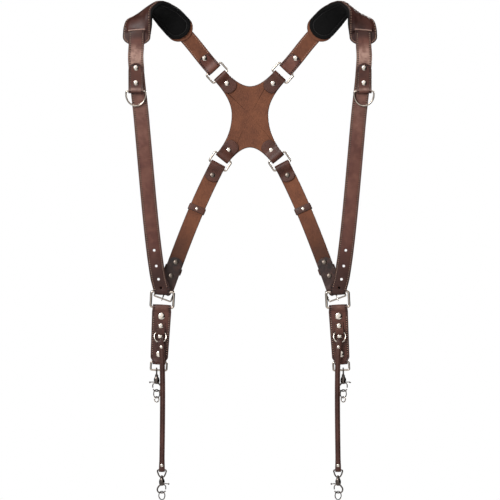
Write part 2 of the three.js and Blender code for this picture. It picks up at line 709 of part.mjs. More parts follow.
// Back strap with both ends folded towards the body, three rivets and the prong's slot
const CHAPE_GAP = KEEPER_THICK + 2 * GAP;
function backStrap() {
  const folded = foldedEnd(backChain, -1, {
    radius: CHAPE_LAYER, layer: STRAP_THICK + CHAPE_GAP, length: CHAPE_FOLD, round: CHAPE_ROUND });
  const whole = foldedStart(folded, -1, {
    radius: lower.strapRadius, layer: STRAP_THICK + GAP, length: STRAP_FOLD });
  const face = (gap) => STRAP_THICK * 1.5 + gap;
  const fromRing = BACK_RIVET - lower.strapRadius - STRAP_THICK / 2;
  const chapeRivet = (d) => behindFold(backChain, d, CHAPE_LAYER, STRAP_THICK);
  const rivets = [
    headOn(stationAt(backChain, fromRing), face(GAP), -1),
    ...CHAPE_RIVETS.map((d) => headOn(chapeRivet(d), face(CHAPE_GAP), -1)),
  ];
  return joined(cut(ribbon(whole, STRAP_THICK), prongSlot()), ...rivets);
}

// Leather loop round the back strap and the tail, at a distance up from the buckle's bar
function keeper(distance, riveted) {
  const s = stationAt(backChain, backLength - distance);
  const halfWidth = STRAP_WIDTH / 2 + GAP;
  const low = -STRAP_THICK / 2 - GAP;
  const high = STRAP_THICK * 1.5 + 2 * GAP;
  const box = (margin) => [[-halfWidth - margin, low - margin], [halfWidth + margin, low - margin],
    [halfWidth + margin, high + margin], [-halfWidth - margin, high + margin]];
  const shape = new THREE.Shape(box(KEEPER_THICK).map(([x, y]) => new THREE.Vector2(x, y)));
  shape.holes.push(new THREE.Path(box(0).toReversed().map(([x, y]) => new THREE.Vector2(x, y))));
  const geometry = new THREE.ExtrudeGeometry(shape, { depth: KEEPER_LENGTH, bevelEnabled: false });
  geometry.translate(0, 0, -KEEPER_LENGTH / 2);
  const matrix = new THREE.Matrix4().makeBasis(s.across, s.outward, s.across.clone().cross(s.outward))
    .setPosition(s.point);
  const loop = welded(geometry).applyMatrix4(matrix);
  return riveted ? joined(loop, headOn(s, -low + KEEPER_THICK, -1, KEEPER_RIVET)) : loop;
}

// Yoke: a plate with hollow sides and four tongues folded towards the body over their rings
const YOKE_STEPS = 5;
function tongueSide(ring, sign) {
  const inPlane = ring.travel.clone().cross(Y_AXIS);
  return along(ring.tongueEnd, inPlane, (sign * YOKE_TONGUE_WIDTH) / 2);
}
function sideCurve(corner, travel, notch, vertical) {
  const share = vertical ? (corner.x - notch.x) / travel.x : (corner.z - notch.z) / travel.z;
  const control = along(corner, travel, -share);
  return { control: new THREE.Vector2(control.x, control.z), corner: new THREE.Vector2(corner.x, corner.z) };
}
function yokePlate() {
  const waist = V(YOKE_WAIST / 2, BACK_DEPTH, -YOKE_DROP);
  const top = V(0, BACK_DEPTH, YOKE_TOP_NOTCH - YOKE_DROP);
  const foot = V(0, BACK_DEPTH, -YOKE_FOOT_NOTCH - YOKE_DROP);
  const curves = [
    [top, upper, 1, false], [waist, upper, -1, true], [waist, lower, 1, true], [foot, lower, -1, false],
  ].map(([notch, ring, sign, vertical]) => sideCurve(tongueSide(ring, sign), ring.travel, notch, vertical));
  const bend = (from, control, to) => new THREE.QuadraticBezierCurve(from, control, to).getPoints(YOKE_STEPS);
  const flat = (v) => new THREE.Vector2(v.x, v.z);
  const half = [
    ...bend(flat(top), curves[0].control, curves[0].corner),
    ...bend(curves[1].corner, curves[1].control, flat(waist)),
    ...bend(flat(waist), curves[2].control, curves[2].corner).slice(1),
    ...bend(curves[3].corner, curves[3].control, flat(foot)),
  ];
  const other = half.slice(1, -1).toReversed().map((p) => new THREE.Vector2(-p.x, p.y));
  const geometry = new THREE.ExtrudeGeometry(new THREE.Shape([...half, ...other]), {
    depth: YOKE_THICK, bevelEnabled: false });
  geometry.rotateX(Math.PI / 2);
  geometry.translate(0, BACK_DEPTH + YOKE_THICK / 2, 0);
  return geometry;
}
function yokeTongue(ring) {
  const half = YOKE_TONGUE_WIDTH / 2;
  const inside = along(ring.tongueEnd, ring.travel, -YOKE_TONGUE_FOLD - 2);
  const across = Y_AXIS.clone().cross(ring.travel);
  const chain = [station(inside, across, half), station(ring.tongueEnd, across, half)];
  const side = Math.sign(framed(chain)[1].outward.y) * -1;
  const folded = foldedEnd(chain, side, {
    radius: ring.yokeRadius, layer: YOKE_THICK + GAP, length: YOKE_TONGUE_FOLD, round: half * 0.8 });
  folded[0] = stationAt(chain, lengthOf(chain) - 3);
  const place = behindFold(chain, TONGUE_RIVET, ring.yokeRadius, YOKE_THICK);
  return [ribbon(folded, YOKE_THICK), headOn(place, YOKE_THICK * 1.5 + GAP, side)];
}
const mirrored = (geometry) => faceOut(welded(geometry).scale(-1, 1, 1));
function yoke() {
  const pieces = [upper, lower].flatMap((ring) => yokeTongue(ring));
  return joined(yokePlate(), ...pieces, ...pieces.map((piece) => mirrored(piece)));
}

// Matrix of a ring that hangs in the yoke's and a strap's folds: X along its bars
function ringMatrix(ring) {
  const across = Y_AXIS.clone().cross(ring.axis);
  const matrix = new THREE.Matrix4().makeBasis(across, ring.axis, across.clone().cross(ring.axis));
  return matrix.setPosition(ring.middle);
}
const yokeRingBar = () => wireLoop(
  roundedRectangle(RING_WIDTH - RING_WIRE, RING_SPACING, RING_CORNER), RING_WIRE, 5);

// D-ring's tab on the front strap: it hangs straight down over the sloping strap
function chestTab() {
  const start = shoulder.tail;
  const reach = distances(shoulder.chain);
  const index = shoulder.chain.findIndex((s, i) => reach[i] > start && s.point.z > -D_BAR_DROP);
  const [a, b] = [shoulder.chain[index - 1], shoulder.chain[index]];
  const share = (-D_BAR_DROP - a.point.z) / (b.point.z - a.point.z);
  const s = stationAt(shoulder.chain, THREE.MathUtils.lerp(reach[index - 1], reach[index], share));
  const down = along(Z_AXIS.clone().negate(), s.outward, s.outward.z).normalize();
  const across = s.outward.clone().cross(down);
  const lift = STRAP_THICK / 2 + GAP + D_TAB_THICK / 2;
  const radius = D_RING_WIRE / 2 + GAP + D_TAB_THICK / 2;
  const end = along(along(s.point, X_AXIS, D_TAB_SHIFT), s.outward, lift);
  const chain = [station(along(end, down, -D_TAB_LENGTH - 1), across, D_TAB_WIDTH / 2),
    station(end, across, D_TAB_WIDTH / 2)];
  const side = Math.sign(framed(chain)[1].outward.dot(s.outward));
  const bar = along(end, s.outward, radius);
  return { chain, side, radius, bar, down, outward: s.outward };
}
const tab = chestTab();
function dRingTab() {
  const layer = D_TAB_THICK + GAP;
  const folded = foldedEnd(tab.chain, tab.side, {
    radius: tab.radius, layer, length: D_TAB_LENGTH, round: D_TAB_WIDTH / 2 });
  folded[0] = stationAt(tab.chain, lengthOf(tab.chain) - D_TAB_HIDDEN);
  const rivets = D_TAB_RIVETS.map((d) => (
    headOn(stationAt(tab.chain, lengthOf(tab.chain) - d), layer + D_TAB_THICK / 2, tab.side)));
  return joined(ribbon(folded, D_TAB_THICK), ...rivets);
}
function dRing() {
  const half = (D_RING_WIDTH - D_RING_WIRE) / 2;
  const height = D_RING_HEIGHT - D_RING_WIRE;
  const bow = Array.from({ length: D_RING_SEGMENTS + 1 }, (_, i) => {
    const angle = (Math.PI * i) / D_RING_SEGMENTS;
    return V(half * Math.cos(angle), -height * (0.2 + 0.8 * Math.sin(angle)), 0);
  });
  return wireLoop([...bow, V(-half + 2, 0, 0), V(half - 2, 0, 0)], D_RING_WIRE, 5);
}
function dRingMatrix() {
  const up = tab.down.clone().negate();
  const across = up.clone().cross(tab.outward);
  return new THREE.Matrix4().makeBasis(across, up, tab.outward).setPosition(tab.bar);
}

// Hip tab: one strap that goes up the back, over the hip frame, down the front and round the foot ring
const TAB_LAYER = (TAB_THICK + GAP) / 2;
const TAB_FACE = TAB_LAYER + TAB_THICK / 2;
const TAB_SETTLE = 2;
const tabTop = -HIP_FRAME_SPACING / 2;
const tabFoot = tabTop - TAB_LENGTH;
function hipTab() {
  const across = hipDirection(1, 0, 0);
  const topRadius = HIP_FRAME_WIRE / 2 + GAP + TAB_THICK / 2;
  const footRadius = HIP_RING_WIRE / 2 + GAP + TAB_THICK / 2;
  const halfAt = (z) => {
    const fall = (tabTop - z) / TAB_LENGTH;
    const plain = THREE.MathUtils.lerp(TAB_WIDTH, TAB_FOOT_WIDTH, THREE.MathUtils.clamp(fall, 0, 1));
    const top = THREE.MathUtils.lerp(TAB_TOP_FOLD_WIDTH, plain, smooth((tabTop - z) / TAB_CHAMFER));
    return THREE.MathUtils.lerp(TAB_FOOT_FOLD_WIDTH, top, smooth((z - tabFoot) / TAB_CHAMFER)) / 2;
  };
  const at = (y, z) => station(inHip(0, y, z), across, halfAt(z));
  const bend = (bar, radius, up, from) => Array.from({ length: FOLD_STEPS + 1 }, (_, i) => {
    const angle = (Math.PI * i) / FOLD_STEPS;
    return at(from * radius * Math.cos(angle), bar + up * radius * Math.sin(angle));
  });
  const leg = (bar, radius, up, sign) => [0.5, 1].map((share) => (
    at(sign * THREE.MathUtils.lerp(radius, TAB_LAYER, smooth(share)),
      bar + up * radius * TAB_SETTLE * share)));
  const seam = (tabTop + tabFoot) / 2;
  const chamfer = (sign) => at(sign * TAB_LAYER, tabFoot + TAB_CHAMFER);
  return ribbon([
    at(TAB_LAYER, seam + GAP),
    ...leg(tabTop, topRadius, -1, 1).toReversed(),
    ...bend(tabTop, topRadius, 1, 1),
    ...leg(tabTop, topRadius, -1, -1),
    chamfer(-1),
    ...leg(tabFoot, footRadius, 1, -1).toReversed(),
    ...bend(tabFoot, footRadius, -1, -1),
    ...leg(tabFoot, footRadius, 1, 1),
    chamfer(1),
    at(TAB_LAYER, seam - GAP),
  ], TAB_THICK);
}

// Small strap on the tab that humps over the round ring's wire
const O_RING_RADIUS = (O_RING_DIAMETER - O_RING_WIRE) / 2;
const RING_KEEPER_FALL = 4.5;
const RING_LAYER = TAB_FACE + GAP + O_RING_WIRE / 2;
function ringKeeper() {
  const across = hipDirection(1, 0, 0);
  const rows = RING_KEEPER_DROPS;
  const flat = TAB_FACE + GAP + RING_KEEPER_THICK / 2;
  const sag = O_RING_RADIUS - Math.sqrt(O_RING_RADIUS ** 2 - (RING_KEEPER_WIDTH / 2) ** 2);
  const hump = RING_LAYER + O_RING_WIRE / 2 + GAP + RING_KEEPER_THICK / 2 + sag * Math.sin(O_RING_LEAN);
  const crest = rows.ring + sag / 2;
  const flatHalf = (sag + O_RING_WIRE) / 2 + GAP;
  const at = (drop) => {
    const away = (Math.abs(drop - crest) - flatHalf) / RING_KEEPER_FALL;
    const depth = THREE.MathUtils.lerp(hump, flat, smooth(away));
    return station(inHip(0, -depth, -drop), across, RING_KEEPER_WIDTH / 2);
  };
  const humpDrops = [-1, -0.6, 0, 1, 1.6, 2].map((share) => (
    crest + (share <= 0 ? RING_KEEPER_FALL * share - flatHalf : flatHalf + RING_KEEPER_FALL * (share - 1))));
  const chain = [rows.start, ...humpDrops, rows.end].map(at);
  const heads = [rows.rivet, rows.inner].map((drop) => {
    const matrix = new THREE.Matrix4();
    matrix.makeBasis(hipDirection(1, 0, 0), hipDirection(0, 0, 1), hipDirection(0, -1, 0));
    matrix.setPosition(inHip(0, -flat - RING_KEEPER_THICK / 2, -drop));
    return rivetHead(RIVET_SMALL, RIVET_SINK).applyMatrix4(matrix);
  });
  return joined(ribbon(roundedEnd(chain, RING_KEEPER_WIDTH / 2), RING_KEEPER_THICK), ...heads);
}

// Round ring, leaning out from the tab below its keeper
const oRingUp = hipDirection(0, Math.sin(O_RING_LEAN), Math.cos(O_RING_LEAN));
const oRingMiddle = along(inHip(0, -RING_LAYER, -RING_KEEPER_DROPS.ring), oRingUp, -O_RING_RADIUS);
function oRingMatrix() {
  const across = hipDirection(1, 0, 0);
  const matrix = new THREE.Matrix4().makeBasis(across, oRingUp, across.clone().cross(oRingUp));
  return matrix.setPosition(oRingMiddle);
}

// Tether from the round ring to its snap, folded back behind itself at both ends
const tetherRadius = (wire) => wire / 2 + GAP + TETHER_THICK / 2;
const TETHER_SHARES = [0, 0.05, 0.14, 0.25, 0.4, 0.55, 0.7, 0.85, 0.95, 1];
const O_RING_SAG = O_RING_RADIUS
  - Math.sqrt(O_RING_RADIUS ** 2 - (TETHER_HEAD_WIDTH / 2 + TETHER_HEAD_SHIFT) ** 2);
const tetherHeadRadius = tetherRadius(O_RING_WIRE + O_RING_SAG);
function tetherChain() {
  const ring = along(oRingMiddle, oRingUp, O_RING_SAG / 2 - O_RING_RADIUS);
  const start = along(along(ring, Y_AXIS, -tetherHeadRadius), INWARD, TETHER_HEAD_SHIFT);
  const end = along(start, Z_AXIS, -TETHER_LENGTH);
  end.x = ring.x - TETHER_FOOT_SHIFT;
  return TETHER_SHARES.map((share) => {
    const bow = TETHER_BOW * Math.sin(Math.PI * share ** TETHER_BOW_SKEW);
    const head = THREE.MathUtils.lerp(TETHER_HEAD_WIDTH, TETHER_WIDTH, smooth(share / 0.14));
    const width = THREE.MathUtils.lerp(head, TETHER_FOOT_WIDTH, smooth((share - 0.9) / 0.1));
    return station(along(start.clone().lerp(end, share), INWARD, bow), X_AXIS, width / 2);
  });
}
const tetherPath = tetherChain();
const snapBar = along(tetherPath.at(-1).point, Y_AXIS, tetherRadius(EYE_WIRE));
function tether() {
  const layer = TETHER_THICK + GAP;
  const folded = foldedEnd(tetherPath, -1, {
    radius: tetherRadius(EYE_WIRE), layer, length: TETHER_FOLD, round: 0 });
  const whole = foldedStart(folded, -1, {
    radius: tetherHeadRadius, layer, length: TETHER_FOLD, round: 0 });
  const total = lengthOf(tetherPath);
  const rivets = [TETHER_RIVETS.head, total - TETHER_RIVETS.foot].map((d) => (
    headOn(stationAt(tetherPath, d), TETHER_THICK / 2, 1, RIVET_TINY)));
  return joined(ribbon(whole, TETHER_THICK), ...rivets);
}

// Swivel eye of a snap: a loop on the XY plane with its bar at the origin and a bored foot
const EYE_FOOT = -EYE_HEIGHT;
const POST_RADIUS = SWIVEL_POST / 2;
const upright = (geometry) => geometry.rotateX(-Math.PI / 2);
function snapEye() {
  const half = EYE_WIDTH / 2;
  const corner = EYE_WIRE / 2;
  const side = [[half - corner, 0], [half, -corner], [half * 0.92, EYE_FOOT * 0.4],
    [half * 0.6, EYE_FOOT + EYE_SHOULDER], [half * 0.45, EYE_FOOT]];
  const outline = [...side, ...side.toReversed().map(([x, y]) => [-x, y])].map(([x, y]) => V(x, y, 0));
  const disc = (radius, below, above) => (
    upright(turned([[0, -below], [radius, -below], [radius, above], [0, above]], 6))
      .translate(0, EYE_FOOT, 0));
  const foot = disc(EYE_FOOT_RADIUS, EYE_FOOT_BELOW, EYE_FOOT_ABOVE);
  return cut(joined(wireLoop(outline, EYE_WIRE, 5), foot), disc(POST_RADIUS + GAP, EYE_WIRE, EYE_WIRE));
}

// Snap body below the eye: post with its head, barrel with the lever's slot and pin, and hook
const BARREL_TOP = EYE_FOOT - EYE_FOOT_BELOW - GAP;
const BARREL_FOOT = BARREL_TOP - SNAP_BARREL_HEIGHT;
const PIVOT = V(SNAP_BARREL_WIDTH * 0.23, BARREL_FOOT + PIVOT_RISE, 0);
function hookPath() {
  const drop = BARREL_FOOT - SNAP_HOOK_HEIGHT;
  const half = SNAP_HOOK_WIDTH / 2;
  const rows = [[-0.38, 1], [-0.8, 0.76], [-1.08, 0.42], [-0.88, 0.12], [-0.3, 0], [0.4, 0.02], [0.86, 0.24]];
  return rows.map(([x, y]) => V(half * x, drop + (SNAP_HOOK_HEIGHT + HOOK_ROOT) * y, 0));
}
function snapBody() {
  const radius = SNAP_BARREL_WIDTH / 2;
  const at = (share) => BARREL_FOOT + SNAP_BARREL_HEIGHT * share;
  const barrel = upright(turned([[0, at(0)], [radius * 0.78, at(0.06)], [radius, at(0.3)], [radius, at(0.62)],
    [radius * 0.55, at(1)], [0, at(1)]], 8));
  barrel.scale(1, 1, SNAP_BARREL_DEPTH / SNAP_BARREL_WIDTH);
  const head = EYE_FOOT + EYE_FOOT_ABOVE + GAP;
  const wide = POST_RADIUS + POST_HEAD_RISE;
  const root = BARREL_TOP - POST_ROOT;
  const post = upright(turned([[0, root], [POST_RADIUS, root], [POST_RADIUS, head], [wide, head],
    [wide, head + POST_HEAD_HEIGHT], [0, head + POST_HEAD_HEIGHT]], 6));
  const hook = wireRun(hookPath(), SNAP_WIRE, 5);
  const slot = new THREE.BoxGeometry(SNAP_BARREL_WIDTH, LEVER_SLOT_HEIGHT, LEVER_THICK + 2 * GAP);
  slot.translate(PIVOT.x - LEVER_SLOT_INSET + SNAP_BARREL_WIDTH / 2, PIVOT.y - LEVER_SLOT_DROP, 0);
  const pin = new THREE.CylinderGeometry(PIN_RADIUS, PIN_RADIUS, SNAP_BARREL_DEPTH * 0.6, 6);
  pin.rotateX(Math.PI / 2);
  pin.translate(PIVOT.x, PIVOT.y, 0);
  return joined(cut(joined(barrel, hook, post), slot), pin);
}

// Lever with its hub, thumb piece and the gate that closes the hook
function snapLever() {
  const path = hookPath();
  const tip = path.at(-1);
  const gate = wireRun([PIVOT.clone(), V(tip.x * 1.02, PIVOT.y - GATE_DROP, 0),
    V(tip.x * 1.06, tip.y + GATE_CLEARANCE, 0)], LEVER_WIRE, 5);
  const thumb = wireRun([PIVOT.clone(), V(PIVOT.x + LEVER_REACH, PIVOT.y, 0)], LEVER_WIRE, 5);
  const ball = new THREE.SphereGeometry(LEVER_BALL, 6, 4).translate(PIVOT.x + LEVER_REACH, PIVOT.y, 0);
  const round = (radius, depth) => {
    const geometry = new THREE.CylinderGeometry(radius, radius, depth, 6);
    return geometry.rotateX(Math.PI / 2).translate(PIVOT.x, PIVOT.y, 0);
  };
  const solid = joined(round(LEVER_HUB, LEVER_THICK), gate, thumb, ball);
  return cut(solid, round(PIN_RADIUS + GAP, LEVER_THICK * 2));
}

// Round ring whose top wire hangs in a hook or another ring, turned about the vertical
function hangingRing(diameter, wire, top, turn) {
  const radius = (diameter - wire) / 2;
  const across = V(Math.cos(turn), Math.sin(turn), 0);
  const matrix = new THREE.Matrix4().makeBasis(across, Z_AXIS, across.clone().cross(Z_AXIS));
  return {
    geometry: wireLoop(circle(radius, RING_SEGMENTS), wire, 5),
    matrix: matrix.setPosition(along(top, Z_AXIS, -radius)),
    foot: along(top, Z_AXIS, -2 * radius),
  };
}

// Matrix of a snap's part: its X along the given direction and its Y up, from the eye's bar
function snapMatrix(bar, facing) {
  return new THREE.Matrix4().makeBasis(facing, Z_AXIS, facing.clone().cross(Z_AXIS)).setPosition(bar);
}

const harness = new THREE.Group();
harness.name = 'dual_camera_harness';
const finishes = Object.fromEntries(Object.entries(COLOURS).map(([name, values]) => {
  const material = new THREE.MeshStandardMaterial(values);
  material.name = name;
  return [name, material];
}));

function addPiece(name, geometry, finish, matrix = new THREE.Matrix4()) {
  const mesh = new THREE.Mesh(geometry, finishes[finish]);
  mesh.name = name;
  matrix.decompose(mesh.position, mesh.quaternion, mesh.scale);
  harness.add(mesh);
}

// Adds a piece on the right and its mirror image on the left, as seen from the front
const MIRROR = new THREE.Matrix4().makeScale(-1, 1, 1);
function addPair(name, geometry, finish, matrix = new THREE.Matrix4()) {
  addPiece(`${name}_right`, geometry, finish, matrix);
  const other = new THREE.Matrix4().multiplyMatrices(MIRROR, matrix).multiply(MIRROR);
  addPiece(`${name}_left`, mirrored(geometry), finish, other);
}

// Snap of three parts and the rings that hang in its hook
function addSnap(name, bar, eyeFacing, bodyFacing, ringTurn) {
  addPair(`${name}_snap_eye`, snapEye(), 'nickel', snapMatrix(bar, eyeFacing));
  addPair(`${name}_snap_body`, snapBody(), 'nickel', snapMatrix(bar, bodyFacing));
  addPair(`${name}_snap_lever`, snapLever(), 'nickel', snapMatrix(bar, bodyFacing));
  const seat = (SNAP_WIRE + SPLIT_RING_WIRE) / 2 + 2 * GAP;
  const top = along(bar, Z_AXIS, BARREL_FOOT - SNAP_HOOK_HEIGHT + seat);
  const ring = hangingRing(SPLIT_RING_DIAMETER, SPLIT_RING_WIRE, top, ringTurn);
  addPair(`${name}_split_ring`, ring.geometry, 'nickel', ring.matrix);
  return ring.foot;
}

addPiece('yoke', yoke(), 'flesh');
addPair('pad_leather', padLeather(), 'grain');
addPair('pad_lining', padLining(), 'lining');
addPair('shoulder_strap', shoulderStrap(), 'grain');
addPair('d_ring_tab', dRingTab(), 'grain');
addPair('d_ring', dRing(), 'nickel', dRingMatrix());
addPair('upper_ring', yokeRingBar(), 'nickel', ringMatrix(upper));
addPair('lower_ring', yokeRingBar(), 'nickel', ringMatrix(lower));
addPair('back_strap', backStrap(), 'flesh');
addPair('keeper_upper', keeper(KEEPER_PLACES.upper, true), 'grain');
addPair('keeper_lower', keeper(KEEPER_PLACES.lower, false), 'grain');

const hipUpright = (x, y, z) => (
  new THREE.Matrix4().makeBasis(hipDirection(1, 0, 0), hipDirection(0, 0, 1), hipDirection(0, -1, 0))
    .setPosition(inHip(x, y, z)));
addPair('hip_frame', wireLoop(roundedRectangle(
  HIP_FRAME_WIDTH - HIP_FRAME_WIRE, HIP_FRAME_SPACING, HIP_FRAME_CORNER), HIP_FRAME_WIRE, 5),
'nickel', hipUpright(0, 0, 0));
const buckleLoop = wireLoop(
  roundedRectangle(BUCKLE_WIDTH - BUCKLE_WIRE, BUCKLE_SPACING, BUCKLE_CORNER), BUCKLE_WIRE);
buckleLoop.translate(0, BUCKLE_SPACING / 2, 0);
addPair('hip_buckle', joined(buckleLoop, prong(PRONG_WIRE, 0)), 'nickel', buckleMatrix);
addPair('hip_tab', hipTab(), 'grain');
const onTab = (z) => hipUpright(0, -TAB_FACE - GAP, z);
addPair('hip_rivet_upper', rivetHead(RIVET_LARGE, 0), 'nickel', onTab(tabTop - HIP_RIVET_UPPER_INSET));
addPair('hip_rivet_lower', rivetHead(RIVET_LARGE, 0), 'nickel', onTab(tabFoot + HIP_RIVET_LOWER_INSET));
addPair('hip_ring', wireLoop(roundedRectangle(
  HIP_RING_WIDTH - HIP_RING_WIRE, HIP_RING_SPACING, HIP_RING_CORNER), HIP_RING_WIRE, 5),
'nickel', hipUpright(0, 0, tabFoot - HIP_RING_SPACING / 2));
addPair('ring_keeper', ringKeeper(), 'grain');
addPair('o_ring', wireLoop(circle(O_RING_RADIUS, 12), O_RING_WIRE), 'nickel', oRingMatrix());
addPair('tether', tether(), 'grain');
addSnap('tether', snapBar, INWARD, INWARD, SPLIT_RING_TURN);
const hipSnapBar = along(inHip(HIP_SNAP_SHIFT, 0, tabFoot - HIP_RING_SPACING), Z_AXIS,
  (HIP_RING_WIRE + EYE_WIRE) / 2 + GAP);
const splitFoot = addSnap('hip', hipSnapBar, Y_AXIS, X_AXIS, SPLIT_RING_TURN);
const endTop = along(splitFoot, Z_AXIS, (SPLIT_RING_WIRE + END_RING_WIRE) / 2 + 2 * GAP);
const endRing = hangingRing(END_RING_DIAMETER, END_RING_WIRE, endTop, END_RING_TURN);
addPair('hip_end_ring', endRing.geometry, 'nickel', endRing.matrix);

export default harness;
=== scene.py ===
"""Looks of a dual camera harness: stitched leather straps, padded shoulders and nickel fittings.

Lengths are in millimetres and angles in degrees until a piece becomes a mesh in metres. The right
side is built where X is positive, and the left side is its mirror image.
"""

import logging
import math
from dataclasses import dataclass, replace
from enum import Enum
from functools import cached_property
from typing import Any, Sequence

import bpy
import numpy as np
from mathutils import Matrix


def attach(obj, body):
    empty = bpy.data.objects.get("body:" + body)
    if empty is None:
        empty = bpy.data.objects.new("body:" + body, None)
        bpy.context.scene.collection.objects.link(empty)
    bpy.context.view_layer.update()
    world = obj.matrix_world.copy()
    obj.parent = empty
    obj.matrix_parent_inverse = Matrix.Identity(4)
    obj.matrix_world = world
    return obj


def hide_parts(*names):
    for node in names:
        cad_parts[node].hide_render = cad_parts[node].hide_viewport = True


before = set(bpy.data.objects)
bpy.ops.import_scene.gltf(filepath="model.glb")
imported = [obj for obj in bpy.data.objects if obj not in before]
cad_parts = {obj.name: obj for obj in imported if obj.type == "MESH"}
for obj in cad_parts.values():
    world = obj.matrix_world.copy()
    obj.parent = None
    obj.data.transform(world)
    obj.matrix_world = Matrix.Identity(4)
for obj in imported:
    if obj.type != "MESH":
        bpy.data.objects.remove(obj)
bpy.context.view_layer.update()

LOG = logging.getLogger("harness")
MM = 0.001
# stations in a fold's half turn, and the length over which it closes, in radii
FOLD_STEPS, FOLD_SETTLE = 12, 4
# distances from an end, and shares of a rounding length, at which a line gets stations
END_MARKS = np.array([0.05, 0.3, 0.7, 1.2, 1.9])
ROUND_MARKS = np.array([0.005, 0.03, 0.07, 0.13, 0.2, 0.3, 0.42, 0.56, 0.7, 0.85])
# smallest spacing of stations, and the least square of a rounded end's width
LEAST_STEP, LEAST_ROUND = 0.03, 0.004
X_AXIS, Y_AXIS, Z_AXIS = np.eye(3)
Array = np.ndarray
Material = bpy.types.Material
Colour = tuple[int, int, int]
Pair = tuple[float, float]
Triple = tuple[float, float, float]
Four = tuple[float, float, float, float]


class Side(Enum):
    """Side of the harness, as seen from the front."""

    RIGHT = "right"
    LEFT = "left"


class Face(Enum):
    """Finish index of a leather strap's faces."""

    GRAIN = 0
    FLESH = 1
    EDGE = 2


def unit(vectors: Array) -> Array:
    """Vectors divided by their lengths."""
    return vectors / np.linalg.norm(vectors, axis=-1, keepdims=True)


def smooth(t: Array) -> Array:
    """Eased step 3t² − 2t³ of values clipped to 0 and 1."""
    t = np.clip(t, 0, 1)
    return t * t * (3 - 2 * t)


def lerp(a: Any, b: Any, t: Any) -> Any:
    """Straight mix a + (b − a)·t."""
    return a + (b - a) * t


def bump(values: Array, middle: float, spread: float) -> Array:
    """Bell exp(−((v − middle) / spread)²)."""
    return np.exp(-(((values - middle) / spread) ** 2))


def rounding(share: Array, least: float) -> Array:
    """Quarter circle √(1 − (1 − t)²) over shares from 0 to 1, its square no less than least."""
    return np.sqrt(np.clip(1 - (1 - np.clip(share, 0, 1)) ** 2, least, 1))


def travelled(points: Array) -> Array:
    """Distance of each point along a line of points."""
    return np.concatenate([[0.0], np.cumsum(np.linalg.norm(np.diff(points, axis=0), axis=1))])


def heading(degrees: float) -> Array:
    """Direction in the XZ plane at an angle from X."""
    return np.array([math.cos(math.radians(degrees)), 0.0, math.sin(math.radians(degrees))])


def hermite(known: Array, values: Array, wanted: Array) -> Array:
    """Cubic through known values, with slopes from their neighbours.

    On each span h the value is v0·(2t³−3t²+1) + h·m0·(t³−2t²+t) + v1·(3t²−2t³) + h·m1·(t³−t²).

    Args:
        known: rising parameters.
        values: one value or row of values for each parameter.
        wanted: parameters to evaluate.

    Returns:
        Values at the wanted parameters.
    """
    slopes = np.gradient(values, known, axis=0)
    i = np.clip(np.searchsorted(known, wanted, side="right") - 1, 0, len(known) - 2)
    h = known[i + 1] - known[i]
    t = (wanted - known[i]) / h
    if values.ndim > 1:
        h, t = h[:, None], t[:, None]
    t2, t3 = t * t, t * t * t
    near = values[i] * (2 * t3 - 3 * t2 + 1) + slopes[i] * h * (t3 - 2 * t2 + t)
    return near + values[i + 1] * (3 * t2 - 2 * t3) + slopes[i + 1] * h * (t3 - t2)


@dataclass(frozen=True)
class Place:
    """Local frame: an origin and the directions of its X, Y and Z, one a row."""

    origin: Array
    axes: Array

    def put(self, points: Array) -> Array:
        """Local points in the harness's frame."""
        return self.origin + np.asarray(points, float) @ self.axes

    def turn(self, x: float, y: float, z: float) -> Array:
        """Local direction in the harness's frame."""
        return np.array([x, y, z], float) @ self.axes


def place(origin: Array, x: Array, y: Array) -> Place:
    """Right-handed frame at an origin from its X and Y directions."""
    x, y = unit(np.asarray(x, float)), unit(np.asarray(y, float))
    return Place(np.asarray(origin, float), np.array([x, y, np.cross(x, y)]))


@dataclass(frozen=True)
class Spot:
    """One place on a strap, with its frame."""

    point: Array
    travel: Array
    across: Array
    outward: Array
    half: float


